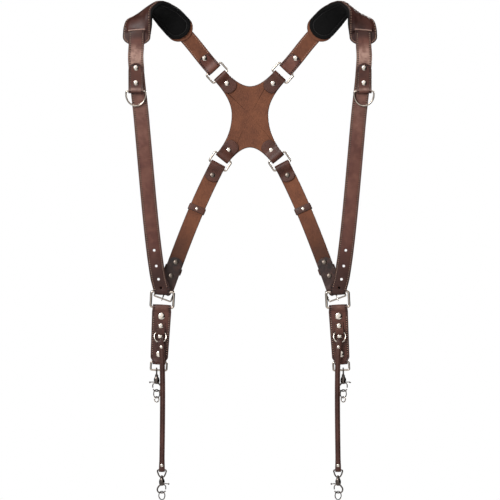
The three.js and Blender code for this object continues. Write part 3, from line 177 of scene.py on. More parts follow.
@dataclass(frozen=True)
class Chain:
    """Middle line of a strap: points, directions across and half widths, one row a station."""

    points: Array
    across: Array
    half: Array

    @cached_property
    def reach(self) -> Array:
        """Distance of each station along the line."""
        return travelled(self.points)

    @property
    def length(self) -> float:
        """Whole length of the line."""
        return float(self.reach[-1])

    @cached_property
    def frames(self) -> tuple[Array, Array, Array]:
        """Travel, across and outward directions; outward is travel × across.

        Returns:
            Three arrays of unit directions, one row a station.
        """
        padded = np.concatenate([self.points[:1], self.points, self.points[-1:]])
        travel = unit(padded[2:] - padded[:-2])
        lean = np.sum(self.across * travel, axis=1, keepdims=True)
        across = unit(self.across - travel * lean)
        return travel, across, np.cross(travel, across)

    def sample(self, distances: Array) -> tuple[Array, Array, Array, Array, Array]:
        """Straight mixes of points, travel, across, outward and half widths at distances.

        Args:
            distances: distances along the line.

        Returns:
            Points, three directions and half widths, one row a distance.
        """
        columns = np.hstack([self.points, *self.frames, self.half[:, None]])
        at = np.stack([np.interp(distances, self.reach, c) for c in columns.T], axis=1)
        return at[:, :3], unit(at[:, 3:6]), unit(at[:, 6:9]), unit(at[:, 9:12]), at[:, 12]

    def spot(self, distance: float) -> Spot:
        """Place at one distance."""
        point, travel, across, outward, half = self.sample(np.array([distance]))
        return Spot(point[0], travel[0], across[0], outward[0], float(half[0]))

    def stretch(self, start: float, end: float, step: float = 6.0) -> "Chain":
        """Part of the line between two distances, with stations about a step apart.

        Args:
            start: first distance.
            end: last distance.
            step: spacing of the stations.

        Returns:
            The part's line.
        """
        distances = np.linspace(start, end, max(2, int((end - start) / step) + 2))
        point, _, across, _, half = self.sample(distances)
        return Chain(point, across, half)

    def turned_round(self) -> "Chain":
        """The same line walked from its other end."""
        return Chain(self.points[::-1], self.across[::-1], self.half[::-1])

    def folded(self, side: int, radius: float, layer: float, length: float) -> "Chain":
        """Line whose end turns half round a bar and runs back along itself.

        The turn is end + travel·r·sin a + outward·side·r·(1 − cos a) for a from 0 to 180°, and the
        way back lies over the line at a height that eases from 2r to the layer's.

        Args:
            side: 1 to fold towards outward, or -1.
            radius: turn's radius.
            layer: height of the folded part over the line.
            length: length that runs back.

        Returns:
            The longer line.
        """
        travel, across, outward = (f[-1] for f in self.frames)
        angle = np.linspace(0, np.pi, FOLD_STEPS + 1)[1:, None]
        turn = self.points[-1] + travel * radius * np.sin(angle)
        turn = turn + outward * side * radius * (1 - np.cos(angle))
        settle = radius * FOLD_SETTLE
        back = np.concatenate([np.linspace(0, settle, 9)[1:], np.linspace(settle, length, 9)[1:]])
        point, _, _, out, half = self.sample(self.length - back)
        height = lerp(2 * radius, layer, smooth(back / settle))[:, None]
        points = np.concatenate([self.points, turn, point + out * side * height])
        wide = np.concatenate([self.half, np.full(len(turn), self.half[-1]), half])
        count = len(turn) + len(back)
        return Chain(points, np.concatenate([self.across, np.tile(across, (count, 1))]), wide)

    def folded_start(self, side: int, radius: float, layer: float, length: float) -> "Chain":
        """Line whose start is folded in the same way."""
        return self.turned_round().folded(-side, radius, layer, length).turned_round()

    def smoothed(self, step: float, start: float = 0.0, end: float = 0.0) -> "Chain":
        """Finely spaced cubic through the stations, with ends rounded in plan.

        Within a rounding length r of an end the half width is multiplied by √(1 − (1 − d/r)²).

        Args:
            step: spacing of the new stations.
            start: rounding length at the start, or 0.
            end: rounding length at the end, or 0.

        Returns:
            The fine line.
        """
        keep = np.concatenate([[True], np.diff(self.reach) > 0.05])
        known, total = self.reach[keep], self.length
        marks = [np.linspace(0, total, int(total / step) + 2), END_MARKS, total - END_MARKS,
                 start * ROUND_MARKS, total - end * ROUND_MARKS]
        distances = np.unique(np.round(np.concatenate(marks), 3))
        distances = distances[(distances >= 0) & (distances <= total)]
        distances = distances[np.concatenate([[True], np.diff(distances) > LEAST_STEP])]
        half = hermite(known, self.half[keep], distances)
        for r, away in ((start, distances), (end, total - distances)):
            if r:
                half = half * rounding(away / r, LEAST_ROUND)
        points = hermite(known, self.points[keep], distances)
        return Chain(points, unit(hermite(known, self.across[keep], distances)), half)


def level(points: Array, across: Array, half: Any) -> Chain:
    """Line with one direction across, and one half width unless many are given."""
    return Chain(points, np.tile(across, (len(points), 1)), np.broadcast_to(half, len(points)))


def linked(*chains: Chain) -> Chain:
    """Chains one after another.

    Args:
        chains: lines in order.

    Returns:
        The joined line.
    """
    return Chain(np.concatenate([c.points for c in chains]),
                 np.concatenate([c.across for c in chains]),
                 np.concatenate([c.half for c in chains]))


def bar_run(start: Spot, end: Spot, steps: int, half: float) -> Chain:
    """Cubic Bézier run between two places, its handles a third of their distance long.

    Args:
        start: first place.
        end: last place.
        steps: number of spans.
        half: half width.

    Returns:
        The run's line.
    """
    reach = np.linalg.norm(end.point - start.point) / 3
    t = np.linspace(0, 1, steps + 1)
    t = np.sort(np.concatenate([t, [0.1 / steps, 1 - 0.1 / steps]]))[:, None]
    a, b = start.point, start.point + start.travel * reach
    c, d = end.point - end.travel * reach, end.point
    points = a * (1 - t) ** 3 + 3 * b * t * (1 - t) ** 2 + 3 * c * t * t * (1 - t) + d * t ** 3
    across = unit(lerp(start.across, end.across, t))
    return Chain(points, across, np.full(len(points), half))


@dataclass(frozen=True)
class Shell:
    """Mesh arrays: points, corner lists with sizes and UVs, faces' finishes and points' marks."""

    points: Array
    corners: Array
    sizes: Array
    uv: Array
    finish: Array
    rim: Array
    wear_and_painted_light: Array

    def placed(self, where: Place) -> "Shell":
        """Shell moved from a local frame into the harness's."""
        return replace(self, points=where.put(self.points))

    def moved(self, offset: Sequence[float]) -> "Shell":
        """Shell shifted by an offset."""
        return replace(self, points=self.points + np.array(offset))

    def flipped(self) -> "Shell":
        """Shell with every face's corners in the opposite order.

        Returns:
            The flipped shell.
        """
        starts = np.repeat(np.cumsum(self.sizes) - self.sizes, self.sizes)
        sizes = np.repeat(self.sizes, self.sizes)
        order = 2 * starts + sizes - 1 - np.arange(len(self.corners))
        return replace(self, corners=self.corners[order], uv=self.uv[order])

    def mirrored(self) -> "Shell":
        """Shell on the other side of the YZ plane, its faces still outwards."""
        return replace(self, points=self.points * np.array([-1.0, 1.0, 1.0])).flipped()

    def outwards(self) -> "Shell":
        """Shell turned by the sign of its volume, a sum of fans a·(b × c) over the faces.

        Returns:
            The shell with its faces outwards.
        """
        starts = np.cumsum(self.sizes) - self.sizes
        first = np.repeat(starts, self.sizes)
        step = np.arange(len(self.corners)) + 1
        following = np.where(step - first == np.repeat(self.sizes, self.sizes), first, step)
        a, b, c = (self.points[self.corners[i]] for i in (first, np.arange(len(first)), following))
        return self.flipped() if np.sum(a * np.cross(b, c)) < 0 else self


def merged(*shells: Shell) -> Shell:
    """Several shells as one.

    Args:
        shells: shells to join.

    Returns:
        The joined shell.
    """
    offsets = np.cumsum([0] + [len(s.points) for s in shells[:-1]])
    corners = np.concatenate([s.corners + o for s, o in zip(shells, offsets)])
    rest = {key: np.concatenate([getattr(s, key) for s in shells])
            for key in ("points", "sizes", "uv", "finish", "rim", "wear_and_painted_light")}
    return Shell(corners=corners, **rest)


def grid(points: Array, uv: Array, closed: bool = False, finish: Array | int = 0,
         rim: Array | None = None, wear_and_painted_light: Array | None = None, cap: int = 0) -> Shell:
    """Skin through rows of points that each close on themselves.

    Args:
        points: rows × columns × 3.
        uv: rows × columns + 1 × 2 in metres, with one more row where the skin is closed.
        closed: whether the last row joins the first; otherwise both ends are capped.
        finish: finish index of each column's faces.
        rim: distance to the nearest edge at each point.
        wear_and_painted_light: mark at each point, for leather rubbed by use, painted highlights
            and painted shade.
        cap: finish index of the caps.

    Returns:
        The closed shell, its faces outwards.
    """
    rows, cols = points.shape[:2]
    r, c = np.arange(rows if closed else rows - 1)[:, None], np.arange(cols)[None, :]
    r2, c2 = (r + 1) % rows, (c + 1) % cols
    parts = np.broadcast_arrays(r * cols + c, r * cols + c2, r2 * cols + c2, r2 * cols + c)
    corners = np.stack(parts, -1).reshape(-1)
    w = cols + 1
    parts = np.broadcast_arrays(r * w + c, r * w + c + 1, (r + 1) * w + c + 1, (r + 1) * w + c)
    coords = uv.reshape(-1, 2)[np.stack(parts, -1).reshape(-1)]
    marks = np.broadcast_to(np.asarray(finish)[None, :] if np.ndim(finish) else finish,
                            (r.size, cols)).reshape(-1)
    sizes = np.full(r.size * cols, 4)
    if not closed:
        ends = [np.arange(cols)[::-1], (rows - 1) * cols + np.arange(cols)]
        corners = np.concatenate([corners, *ends])
        coords = np.concatenate([coords, uv[0, :cols][::-1], uv[-1, :cols]])
        sizes = np.concatenate([sizes, [cols, cols]])
        marks = np.concatenate([marks, [cap, cap]])
    count = rows * cols
    rim = np.full(count, 9.0) if rim is None else rim.reshape(-1)
    wear_and_painted_light = np.zeros(count) if wear_and_painted_light is None else wear_and_painted_light.reshape(-1)
    shell = Shell(points.reshape(-1, 3), corners, sizes, coords, marks, rim, wear_and_painted_light)
    return shell.outwards()


def sheet_uv(width: Array, along: Array) -> Array:
    """UVs in metres from distances round a skin's rows and along them."""
    return np.stack([width, np.broadcast_to(along[:, None], width.shape)], -1) * MM


def wire(path: Array, radius: Array | float, sides: int = 16, closed: bool = True,
         flat: float = 1.0) -> Shell:
    """Round bar along a path in the local XY plane.

    A point is path + n·r·cos a + Z·r·flat·sin a, with n the path's normal in its plane.

    Args:
        path: points with Z about 0.
        radius: wire's radius, one value or one for each point.
        sides: points round the wire.
        closed: whether the path closes on itself.
        flat: thickness along Z as a share of the width.

    Returns:
        The bar's shell.
    """
    ring = np.concatenate([path[-1:], path, path[:1]]) if closed else \
        np.concatenate([path[:1], path, path[-1:]])
    travel = unit(ring[2:] - ring[:-2])
    normal = unit(np.cross(travel, Z_AXIS))
    radius = np.broadcast_to(radius, len(path))[:, None, None]
    angle = (np.arange(sides) / sides * 2 * np.pi)[None, :, None]
    points = path[:, None] + radius * (normal[:, None] * np.cos(angle)
                                       + Z_AXIS * flat * np.sin(angle))
    around = np.arange(sides + 1) / sides * 2 * np.pi * float(radius.max()) * MM
    along = travelled(np.concatenate([path, path[:1]])) * MM
    along = along if closed else along[:-1]
    uv = np.stack(np.meshgrid(around, along), -1)
    return grid(points, uv, closed=closed)


def turned(profile: Sequence[Pair], sides: int = 28, fine: int = 0) -> Shell:
    """Solid turned about local Z from pairs of radius and height.

    Args:
        profile: pairs from one end to the other; the ends are small flat discs.
        sides: points round the axis.
        fine: number of rows if the profile is smoothed by a cubic first.

    Returns:
        The solid's shell.
    """
    pairs = np.array(profile, float)
    if fine:
        known = travelled(pairs)
        pairs = hermite(known, pairs, np.linspace(0, known[-1], fine))
    radius = np.maximum(pairs[:, 0], 0.05)[:, None]
    angle = np.arange(sides)[None, :] / sides * 2 * np.pi
    points = np.stack([radius * np.cos(angle), radius * np.sin(angle),
                       np.broadcast_to(pairs[:, 1:], (len(pairs), sides))], -1)
    around = np.arange(sides + 1) / sides * 2 * np.pi * float(radius.max()) * MM
    uv = np.stack(np.meshgrid(around, pairs[:, 1] * MM), -1)
    return grid(points, uv)


def arc(x: float, y: float, radius: float, start: float, end: float, steps: int = 8) -> Array:
    """Points of an arc in the local XY plane, in degrees."""
    a = np.radians(np.linspace(start, end, steps + 1))
    return np.stack([x + radius * np.cos(a), y + radius * np.sin(a), np.zeros(len(a))], -1)


def rounded_rectangle(width: float, height: float, corner: float) -> Array:
    """Closed middle line of a rounded rectangle, with points along its straight sides.

    Args:
        width: spacing of the upright sides' middles.
        height: spacing of the level sides' middles.
        corner: radius of the corners' middle line.

    Returns:
        Points in the local XY plane.
    """
    x, y = width / 2 - corner, height / 2 - corner
    spots = [arc(x, y, corner, 0, 90), arc(-x, y, corner, 90, 180),
             arc(-x, -y, corner, 180, 270), arc(x, -y, corner, 270, 360)]
    return np.concatenate(spots)


def bar_loop(width: float, spacing: float, corner: float, gauge: float, sides: int = 16) -> Shell:
    """Rounded rectangular ring from its whole width and the spacing of its bars' middles."""
    return wire(rounded_rectangle(width - gauge, spacing, corner), gauge / 2, sides)


def hanging(top: Array, radius: float, degrees: float) -> Place:
    """Upright place of a ring that hangs by its top, turned about Z."""
    return place(top - Z_AXIS * radius, heading(degrees)[[0, 2, 1]], Z_AXIS)


def closed_curve(points: Array, count: int) -> Array:
    """Closed cubic through points, sampled evenly.

    Args:
        points: knots in order.
        count: number of samples.

    Returns:
        Points on the curve.
    """
    loop = np.concatenate([points[-3:], points, points[:3]])
    known = travelled(loop)
    wanted = np.linspace(known[3], known[len(points) + 3], count, endpoint=False)
    return hermite(known, loop, wanted)


def open_curve(points: Array, count: int) -> Array:
    """Cubic through points, sampled evenly."""
    known = travelled(points)
    return hermite(known, points, np.linspace(0, known[-1], count))


@dataclass(frozen=True)
class Strap:
    """Cut and edge of a leather strap."""

    thick: float
    grain: int = 1
    crown: float = 0.25
    seam: float = 0.0
    groove: float = 0.3
    groove_spread: float = 0.55
    step: float = 2.4
    edge_angles: tuple[float, ...] = (-60.0, -30.0, 0.0, 30.0, 60.0)
    edge_depth: float = 0.81
    insets: tuple[float, ...] = (0.9, 1.7, 2.4, 3.0, 3.5, 4.0, 4.7, 6.2)
    plain_insets: tuple[float, ...] = (0.9, 1.7, 3.0)
    face_shares: tuple[float, ...] = (0.5, 0.25, 0.0, -0.25, -0.5)
    crown_start: float = 6.0
    crown_at_edge: float = 0.15
    groove_below: float = 0.8
    end_length: float = 1.2
    end_least: float = 0.12
    dent_depth: float = 0.5
    dent_radius: float = 3.3
    dent_spread: float = 1.3

    def section(self) -> tuple[Array, Array, Array, Array]:
        """Columns round the strap: share of the half width, inset, angle's rise and finish.

        The edge is a half ellipse of the strap's thickness. The faces rise by
        crown·(1 − share²) and dip by groove·exp(−((inset − seam)/spread)²) along the seam.

        Returns:
            Signs, insets in mm, heights in mm and finish indices of the faces that follow.
        """
        r = self.thick / 2
        theta = np.radians(np.array(self.edge_angles))
        top = np.array(self.insets if self.seam else self.plain_insets)
        share = np.array(self.face_shares)
        ones, count = np.ones(len(top) + len(theta)), len(top)
        signs = np.concatenate([ones, share, -ones, -ones[:count], -share, ones[:count]])
        edge = self.edge_depth * (1 - np.cos(theta))
        zero = np.zeros(len(share))
        inset = np.concatenate([edge, top, zero, top[::-1], edge[::-1], top, zero, top[::-1]])
        dip = self.groove * bump(top, self.seam, self.groove_spread) if self.seam else top * 0
        rise = r + self.crown * self.crown_at_edge * smooth(top / self.crown_start) - dip
        middle = r + self.crown * (1 - share ** 2)
        rise_edge = r * np.sin(theta)
        under = dip * self.groove_below - r
        height = np.concatenate([rise_edge, rise, middle, rise[::-1], rise_edge[::-1],
                                 under, zero - r, under[::-1]])
        upper, lower = (Face.GRAIN, Face.FLESH) if self.grain > 0 else (Face.FLESH, Face.GRAIN)
        run, edges = 2 * count + len(share) - 1, len(theta)
        finish = np.repeat([Face.EDGE.value, upper.value, Face.EDGE.value, lower.value,
                            Face.EDGE.value], [edges, run, edges + 1, run, 1])
        return signs, inset, height, finish

    def shell(self, chain: Chain, start: float = 0.0, end: float = 0.0,
              worn: Sequence[Triple] = (),
              dents: Sequence[Array] = ()) -> Shell:
        """Strap carried along its middle line.

        A point is line + across·(sign·half − sign·inset·k) + outward·height, where k shrinks the
        insets towards a rounded end, and the strap thins over the end length to round its end.

        Args:
            chain: middle line of the strap.
            start: rounding length at the start.
            end: rounding length at the end.
            worn: rows of distance, spread and strength of marks for leather rubbed by use, painted
                highlights and painted shade.
            dents: centres of holes, round which the leather dips.

        Returns:
            The strap's shell.
        """
        fine = chain.smoothed(self.step, start, end)
        _, across, outward = fine.frames
        signs, inset, height, finish = self.section()
        half = fine.half[:, None]
        shrink = np.clip(half / (np.max(fine.half) * 0.5), 0.03, 1)
        x = signs * half - np.sign(signs) * inset * shrink
        away = np.minimum(fine.reach, fine.length - fine.reach)[:, None]
        z = height * rounding(away / self.end_length, self.end_least)
        points = fine.points[:, None] + across[:, None] * x[..., None]
        points = points + outward[:, None] * z[..., None]
        for dent in dents:
            far = np.linalg.norm(points - dent, axis=-1)
            dip = self.dent_depth * bump(far, self.dent_radius, self.dent_spread) * np.sign(z)
            points = points - outward[:, None] * dip[..., None]
        width = np.concatenate([np.abs(x[:, :1]) * 0, np.cumsum(
            np.linalg.norm(np.diff(points, axis=1), axis=-1), axis=1)], axis=1)
        width = np.concatenate([width, width[:, -1:] + 1.0], axis=1)
        rim = np.minimum(half - np.abs(x), away)
        wear_and_painted_light = sum((s * bump(fine.reach, d, w) for d, w, s in worn), np.zeros(len(fine.reach)))
        wear_and_painted_light = np.broadcast_to(wear_and_painted_light[:, None], x.shape)
        return grid(points, sheet_uv(width, fine.reach), finish=finish, rim=rim, wear_and_painted_light=wear_and_painted_light,
                    cap=Face.EDGE.value)


@dataclass(frozen=True)
class Stitch:
    """One pass of thread, its ends drawn into the leather."""

    pitch: float = 4.5
    share: float = 0.5
    radius: float = 0.8
    inset: float = 3.5
    sides: int = 6
    rows: tuple[float, ...] = (-1.0, -0.8, -0.3, 0.3, 0.8, 1.0)

    def passes(self, middles: Array, along: Array, outward: Array) -> Shell:
        """Capsules at many places.

        Along a pass y from −1 to 1 the radius is r·√(1 − 0.85·y⁴) and the rise is 0.35r − 1.5r·y⁴.

        Args:
            middles: places on the leather's face.
            along: directions of the thread.
            outward: directions out of the leather.

        Returns:
            All passes as one shell.
        """
        y, sides = np.array(self.rows), self.sides
        size = self.radius * np.sqrt(1 - 0.85 * y ** 4)[:, None]
        rise = (0.35 * self.radius - 1.5 * self.radius * y ** 4)[:, None]
        angle = np.arange(sides)[None, :] / sides * 2 * np.pi
        side = size * np.cos(angle)
        up = rise + size * np.sin(angle)
        run = np.broadcast_to(y[:, None] * self.pitch * self.share / 2, side.shape)
        local = np.stack([side, run, up], -1).reshape(-1, 3)
        axes = np.stack([np.cross(along, outward), along, outward], axis=1)
        points = middles[:, None] + local[None] @ axes
        base = grid(local.reshape(len(y), sides, 3),
                    np.stack(np.meshgrid(np.arange(sides + 1) * 0.0004, y * 0.0016), -1))
        count, size_of = len(middles), len(local)
        offsets = np.arange(count) * size_of
        corners = (base.corners[None] + offsets[:, None]).reshape(-1)
        many = count * size_of
        return Shell(points.reshape(-1, 3), corners, np.tile(base.sizes, count),
                     np.tile(base.uv, (count, 1)), np.tile(base.finish, count),
                     np.full(many, 9.0), np.zeros(many))

    def seams(self, chain: Chain, spans: Sequence[Pair], lift: float,
              sides: Sequence[int] = (1, -1), slant: float = 0.1) -> Shell:
        """Passes along both edges of a strap.

        Args:
            chain: the strap's middle line.
            spans: pairs of distances between which it is sewn.
            lift: height of the sewn face over the line, negative on the other face.
            sides: edges to sew.
            slant: sideways turn of each pass.

        Returns:
            The passes' shell.
        """
        parts = [np.arange(math.ceil(a / self.pitch), math.floor(b / self.pitch))
                 for a, b in spans]
        distances = (np.concatenate(parts) + 0.5) * self.pitch
        point, travel, across, outward, half = chain.sample(distances)
        face = math.copysign(1, lift)
        shells = []
        for side in sides:
            middle = point + across * (side * (half - self.inset))[:, None] + outward * lift
            along = unit(travel + across * slant)
            shells.append(self.passes(middle, along, outward * face))
        return merged(*shells)


@dataclass(frozen=True)
class Rivet:
    """Domed rivet head with a low rim."""

    diameter: float = 11.0
    rise: float = 0.2
    rim: float = 0.24
    root: float = 0.5

    def shell(self, where: Place) -> Shell:
        """Head turned about Z: a rim, then a dome of height √(1 − (r/R)²) over it.

        Args:
            where: place of the head's foot, its Z out of the leather.

        Returns:
            The head's shell.
        """
        radius, high = self.diameter / 2, self.diameter * self.rise
        share = np.linspace(0.93, 0.02, 9)
        height = high * (self.rim + (1 - self.rim) * np.sqrt(1 - share ** 2))
        rim = [(0.1, -self.root), (radius * 0.9, -self.root), (radius * 0.98, -0.1),
               (radius, high * self.rim / 2), (radius * 0.985, high * self.rim)]
        return turned([*rim, *zip(radius * share, height)]).placed(where)

    def on(self, spot: Spot, lift: float, facing: int) -> Shell:
        """Head on a strap's face at a height over its line."""
        out = spot.outward * facing
        return self.shell(place(spot.point + out * lift, spot.across, np.cross(out, spot.across)))


# a rivet's low cap on the other face
CAP = Rivet(9.0, 0.12)


def linear(r: int, g: int, b: int) -> Four:
    """Display colour of 0 to 255 as linear light.

    Args:
        r: red.
        g: green.
        b: blue.

    Returns:
        Linear red, green and blue, and alpha.
    """
    parts = [(v / 255 / 12.92) if v / 255 <= 0.04045 else ((v / 255 + 0.055) / 1.055) ** 2.4
             for v in (r, g, b)]
    return (*parts, 1.0)


class Graph:
    """Small builder for a material's nodes."""

    def __init__(self, name: str) -> None:
        """Starts an empty material with its shader.

        Args:
            name: the material's name.
        """
        self.material = bpy.data.materials.new(name)
        self.material.use_nodes = True
        self.tree = self.material.node_tree
        self.shader = self.tree.nodes["Principled BSDF"]

    def node(self, kind: str, inputs: dict[Any, Any], out: Any = 0, **settings: Any) -> Any:
        """Adds a node.

        Args:
            kind: the node's type.
            inputs: values or sockets by input name or index.
            out: output to return.
            settings: the node's own settings.

        Returns:
            The chosen output socket.
        """
        node = self.tree.nodes.new(kind)
        for key, value in settings.items():
            setattr(node, key, value)
        for key, value in inputs.items():
            self.feed(node.inputs[key], value)
        return node.outputs[out]

    def feed(self, socket: Any, value: Any) -> None:
        """Links a socket's output or sets a plain value.

        Args:
            socket: input to fill.
            value: output socket or plain value.
        """
        if isinstance(value, bpy.types.NodeSocket):
            self.tree.links.new(value, socket)
        else:
            socket.default_value = value

    def set(self, **values: Any) -> None:
        """Sets or links the shader's inputs, with _ for a space in their names."""
        for key, value in values.items():
            self.feed(self.shader.inputs[key.replace("_", " ")], value)

    def coordinate(self, output: str) -> Any:
        """Object or UV coordinates."""
        return self.node("ShaderNodeTexCoord", {}, output)

    def attribute(self, name: str) -> Any:
        """Number kept on the piece's points."""
        return self.node("ShaderNodeAttribute", {}, "Fac", attribute_name=name)

    def noise(self, vector: Any, scale: float, detail: float = 3.0, rough: float = 0.55) -> Any:
        """Cloudy noise from 0 to 1."""
        return self.node("ShaderNodeTexNoise", {"Vector": vector, "Scale": scale,
                                                "Detail": detail, "Roughness": rough}, "Fac")

    def span(self, value: Any, low: float, high: float, to_low: float = 0.0,
             to_high: float = 1.0) -> Any:
        """Eased map of one range onto another."""
        return self.node("ShaderNodeMapRange", {0: value, 1: low, 2: high, 3: to_low, 4: to_high},
                         interpolation_type="SMOOTHSTEP")

    def sums(self, kind: str, a: Any, b: Any) -> Any:
        """One arithmetic step."""
        return self.node("ShaderNodeMath", {0: a, 1: b}, operation=kind)

    def times(self, a: Any, b: Any) -> Any:
        """Product of two numbers."""
        return self.sums("MULTIPLY", a, b)

    def axis(self, vector: Any, index: int) -> Any:
        """One coordinate of a vector."""
        return self.node("ShaderNodeSeparateXYZ", {0: vector}, index)

    def blend(self, share: Any, a: Any, b: Any) -> Any:
        """Colour between two colours."""
        return self.node("ShaderNodeMix", {0: share, 6: a, 7: b}, 2, data_type="RGBA")

    def relief(self, height: Any, depth: float, strength: float = 1.0, below: Any = None) -> Any:
        """Bump of a depth in metres over another bump.

        Args:
            height: height from 0 to 1.
            depth: depth of that height in metres.
            strength: share of the bump's effect.
            below: normal of another bump.

        Returns:
            The bump's normal.
        """
        inputs = {"Height": height, "Distance": depth, "Strength": strength}
        if below is not None:
            inputs["Normal"] = below
        return self.node("ShaderNodeBump", inputs)


@dataclass(frozen=True)
class Grain:
    """Smooth grain side of oiled leather: pebbled and mottled, paler where rubbed by use and where
    highlights are painted, darker where shade is painted.
    """

    name: str = "leather_grain"
    colour: Colour = (72, 43, 35)
    deep: Colour = (54, 29, 23)
    # colour of rubbed leather, also used for painted highlights, and for painted shade on the dark
    # finish
    worn: Colour = (176, 142, 128)
    rough: Pair = (0.36, 0.5)
    seam: float = 0.0
    pitch: float = 4.5

    def material(self) -> Material:
        """Nodes: cells 1.1 mm wide for pebbles, clouds for mottling, attributes for edges and for
        marks of use, painted highlights and painted shade.

        Needle holes are dark where rim is the seam's inset and |cos(πv/pitch)| is high, with v
        the distance along the strap.

        Returns:
            The material.
        """
        g = Graph(self.name)
        uv, here = g.coordinate("UV"), g.coordinate("Object")
        cloud = g.noise(here, 26, 4)
        patch = g.noise(here, 90, 5, 0.65)
        cells = g.node("ShaderNodeTexVoronoi", {"Vector": uv, "Scale": 900.0}, "Distance")
        creases = g.noise(uv, 260, 6, 0.6)
        rim = g.attribute("rim")
        tone = g.span(cloud, 0.35, 0.68)
        base = g.blend(tone, linear(*self.deep), linear(*self.colour))
        mottle = g.span(patch, 0.4, 0.75, 0.0, 0.35)
        base = g.blend(mottle, base, linear(*[int(v * 1.22) for v in self.colour]))
        # Marks above zero blend towards the mark colour: rubbed leather and painted highlights on
        # most finishes, painted shade on the dark finish. Marks below zero are painted shade in
        # dark brown.
        wear_and_painted_light = g.times(g.attribute("wear_and_painted_light"), g.span(patch, 0.25, 0.7, 0.35, 1.0))
        base = g.blend(g.span(wear_and_painted_light, 0.0, 1.0), base, linear(*self.worn))
        shade = g.span(g.attribute("wear_and_painted_light"), -1.0, 0.0, 0.85, 0.0)
        base = g.blend(shade, base, linear(36, 14, 9))
        base = g.blend(g.span(cells, 0.0, 0.5, 0.18, 0.0), base, linear(*self.deep))
        base = g.blend(g.span(rim, 0.0, 0.0012, 0.7, 0.0), base, linear(38, 20, 17))
        if self.seam:
            near = g.sums("ABSOLUTE", g.sums("SUBTRACT", rim, self.seam * MM), 0.0)
            turn = g.times(g.axis(uv, 1), math.pi / (self.pitch * MM))
            wave = g.sums("ABSOLUTE", g.sums("COSINE", turn, 0.0), 0.0)
            hole = g.times(g.span(wave, 0.5, 0.78),
                          g.span(near, 0.0012, 0.0019, 1.0, 0.0))
            base = g.blend(hole, base, linear(12, 6, 5))
        height = g.sums("ADD", g.span(cells, 0.05, 0.55), g.times(creases, 0.9))
        g.set(Base_Color=base, Roughness=g.span(patch, 0.3, 0.7, *self.rough),
              Normal=g.relief(height, 0.00016, 0.8), Specular_IOR_Level=0.24,
              Coat_Weight=0.05, Coat_Roughness=0.35)
        return g.material


@dataclass(frozen=True)
class Flesh:
    """Fibrous flesh side of leather, dyed brown."""

    name: str = "leather_flesh"
    colour: Colour = (110, 68, 48)
    deep: Colour = (88, 51, 35)
    dark: float = 0.0

    def material(self) -> Material:
        """Nodes: short fibres from stretched noise, speckles and clouds, with a matt surface.

        Returns:
            The material.
        """
        g = Graph(self.name)
        here = g.coordinate("Object")
        lay = g.node("ShaderNodeMapping", {"Vector": here, "Scale": (1.0, 1.0, 0.28)})
        fibre = g.noise(lay, 620, 5, 0.7)
        speck = g.noise(here, 1500, 2, 0.5)
        cloud = g.noise(here, 30, 4, 0.6)
        base = g.blend(g.span(cloud, 0.32, 0.7), linear(*self.deep), linear(*self.colour))
        base = g.blend(g.span(fibre, 0.35, 0.7, 0.0, 0.45), base,
                       linear(*[int(v * 1.2) for v in self.colour]))
        base = g.blend(g.span(speck, 0.5, 0.8, 0.0, 0.35), base, linear(*self.deep))
        # Marks darken the flesh side towards dark brown: painted shade on the back strap towards
        # its foot.
        shade = g.times(g.attribute("wear_and_painted_light"), 0.85)
        base = g.blend(shade, base, linear(44, 26, 20))
        base = g.blend(g.span(g.attribute("rim"), 0.0, 0.002, 0.7, 0.0), base, linear(48, 27, 20))
        height = g.sums("ADD", fibre, g.times(speck, 0.5))
        g.set(Base_Color=base, Roughness=g.span(cloud, 0.3, 0.7, 0.78, 0.92),
              Normal=g.relief(height, 0.0003, 0.7), Specular_IOR_Level=0.25,
              Sheen_Weight=0.08, Sheen_Roughness=0.5)
        return g.material


@dataclass(frozen=True)
class Burnished:
    """Cut edge of leather, waxed and rubbed dark."""

    name: str = "leather_edge"

    def material(self) -> Material:
        """Nodes: a dark brown with fine layers along the cut.

        Returns:
            The material.
        """
        g = Graph(self.name)
        here = g.coordinate("Object")
        cloud = g.noise(here, 300, 4)
        base = g.blend(g.span(cloud, 0.3, 0.7), linear(34, 19, 16), linear(62, 38, 31))
        g.set(Base_Color=base, Roughness=g.span(cloud, 0.3, 0.7, 0.34, 0.5),
              Normal=g.relief(cloud, 0.0002, 0.5), Specular_IOR_Level=0.45)
        return g.material


@dataclass(frozen=True)
class Mesh:
    """Black spacer fabric with rows of small round holes."""

    name: str = "pad_mesh"
    pitch: float = 2.6

    def material(self) -> Material:
        """Nodes: a grid of dimples from products of waves sin(2πu/p)·sin(2πv/p) on the UV map.

        Returns:
            The material.
        """
        g = Graph(self.name)
        uv, here = g.coordinate("UV"), g.coordinate("Object")
        turn = math.pi / (self.pitch * MM)
        waves = [g.sums("SINE", g.times(g.axis(uv, i), turn), 0.0) for i in (0, 1)]
        dots = g.sums("ABSOLUTE", g.times(waves[0], waves[1]), 0.0)
        yarn = g.noise(here, 1400, 3, 0.6)
        cloud = g.noise(here, 40, 4)
        hole = g.span(dots, 0.45, 0.8)
        base = g.blend(g.span(cloud, 0.3, 0.7), linear(9, 9, 9), linear(14, 14, 14))
        base = g.blend(g.span(yarn, 0.4, 0.8, 0.0, 0.4), base, linear(24, 24, 24))
        base = g.blend(g.times(hole, 0.8), base, linear(3, 3, 3))
        height = g.sums("SUBTRACT", g.times(yarn, 0.3), hole)
        g.set(Base_Color=base, Roughness=g.span(cloud, 0.3, 0.7, 0.72, 0.86),
              Normal=g.relief(height, 0.0004, 0.8), Specular_IOR_Level=0.12)
        return g.material


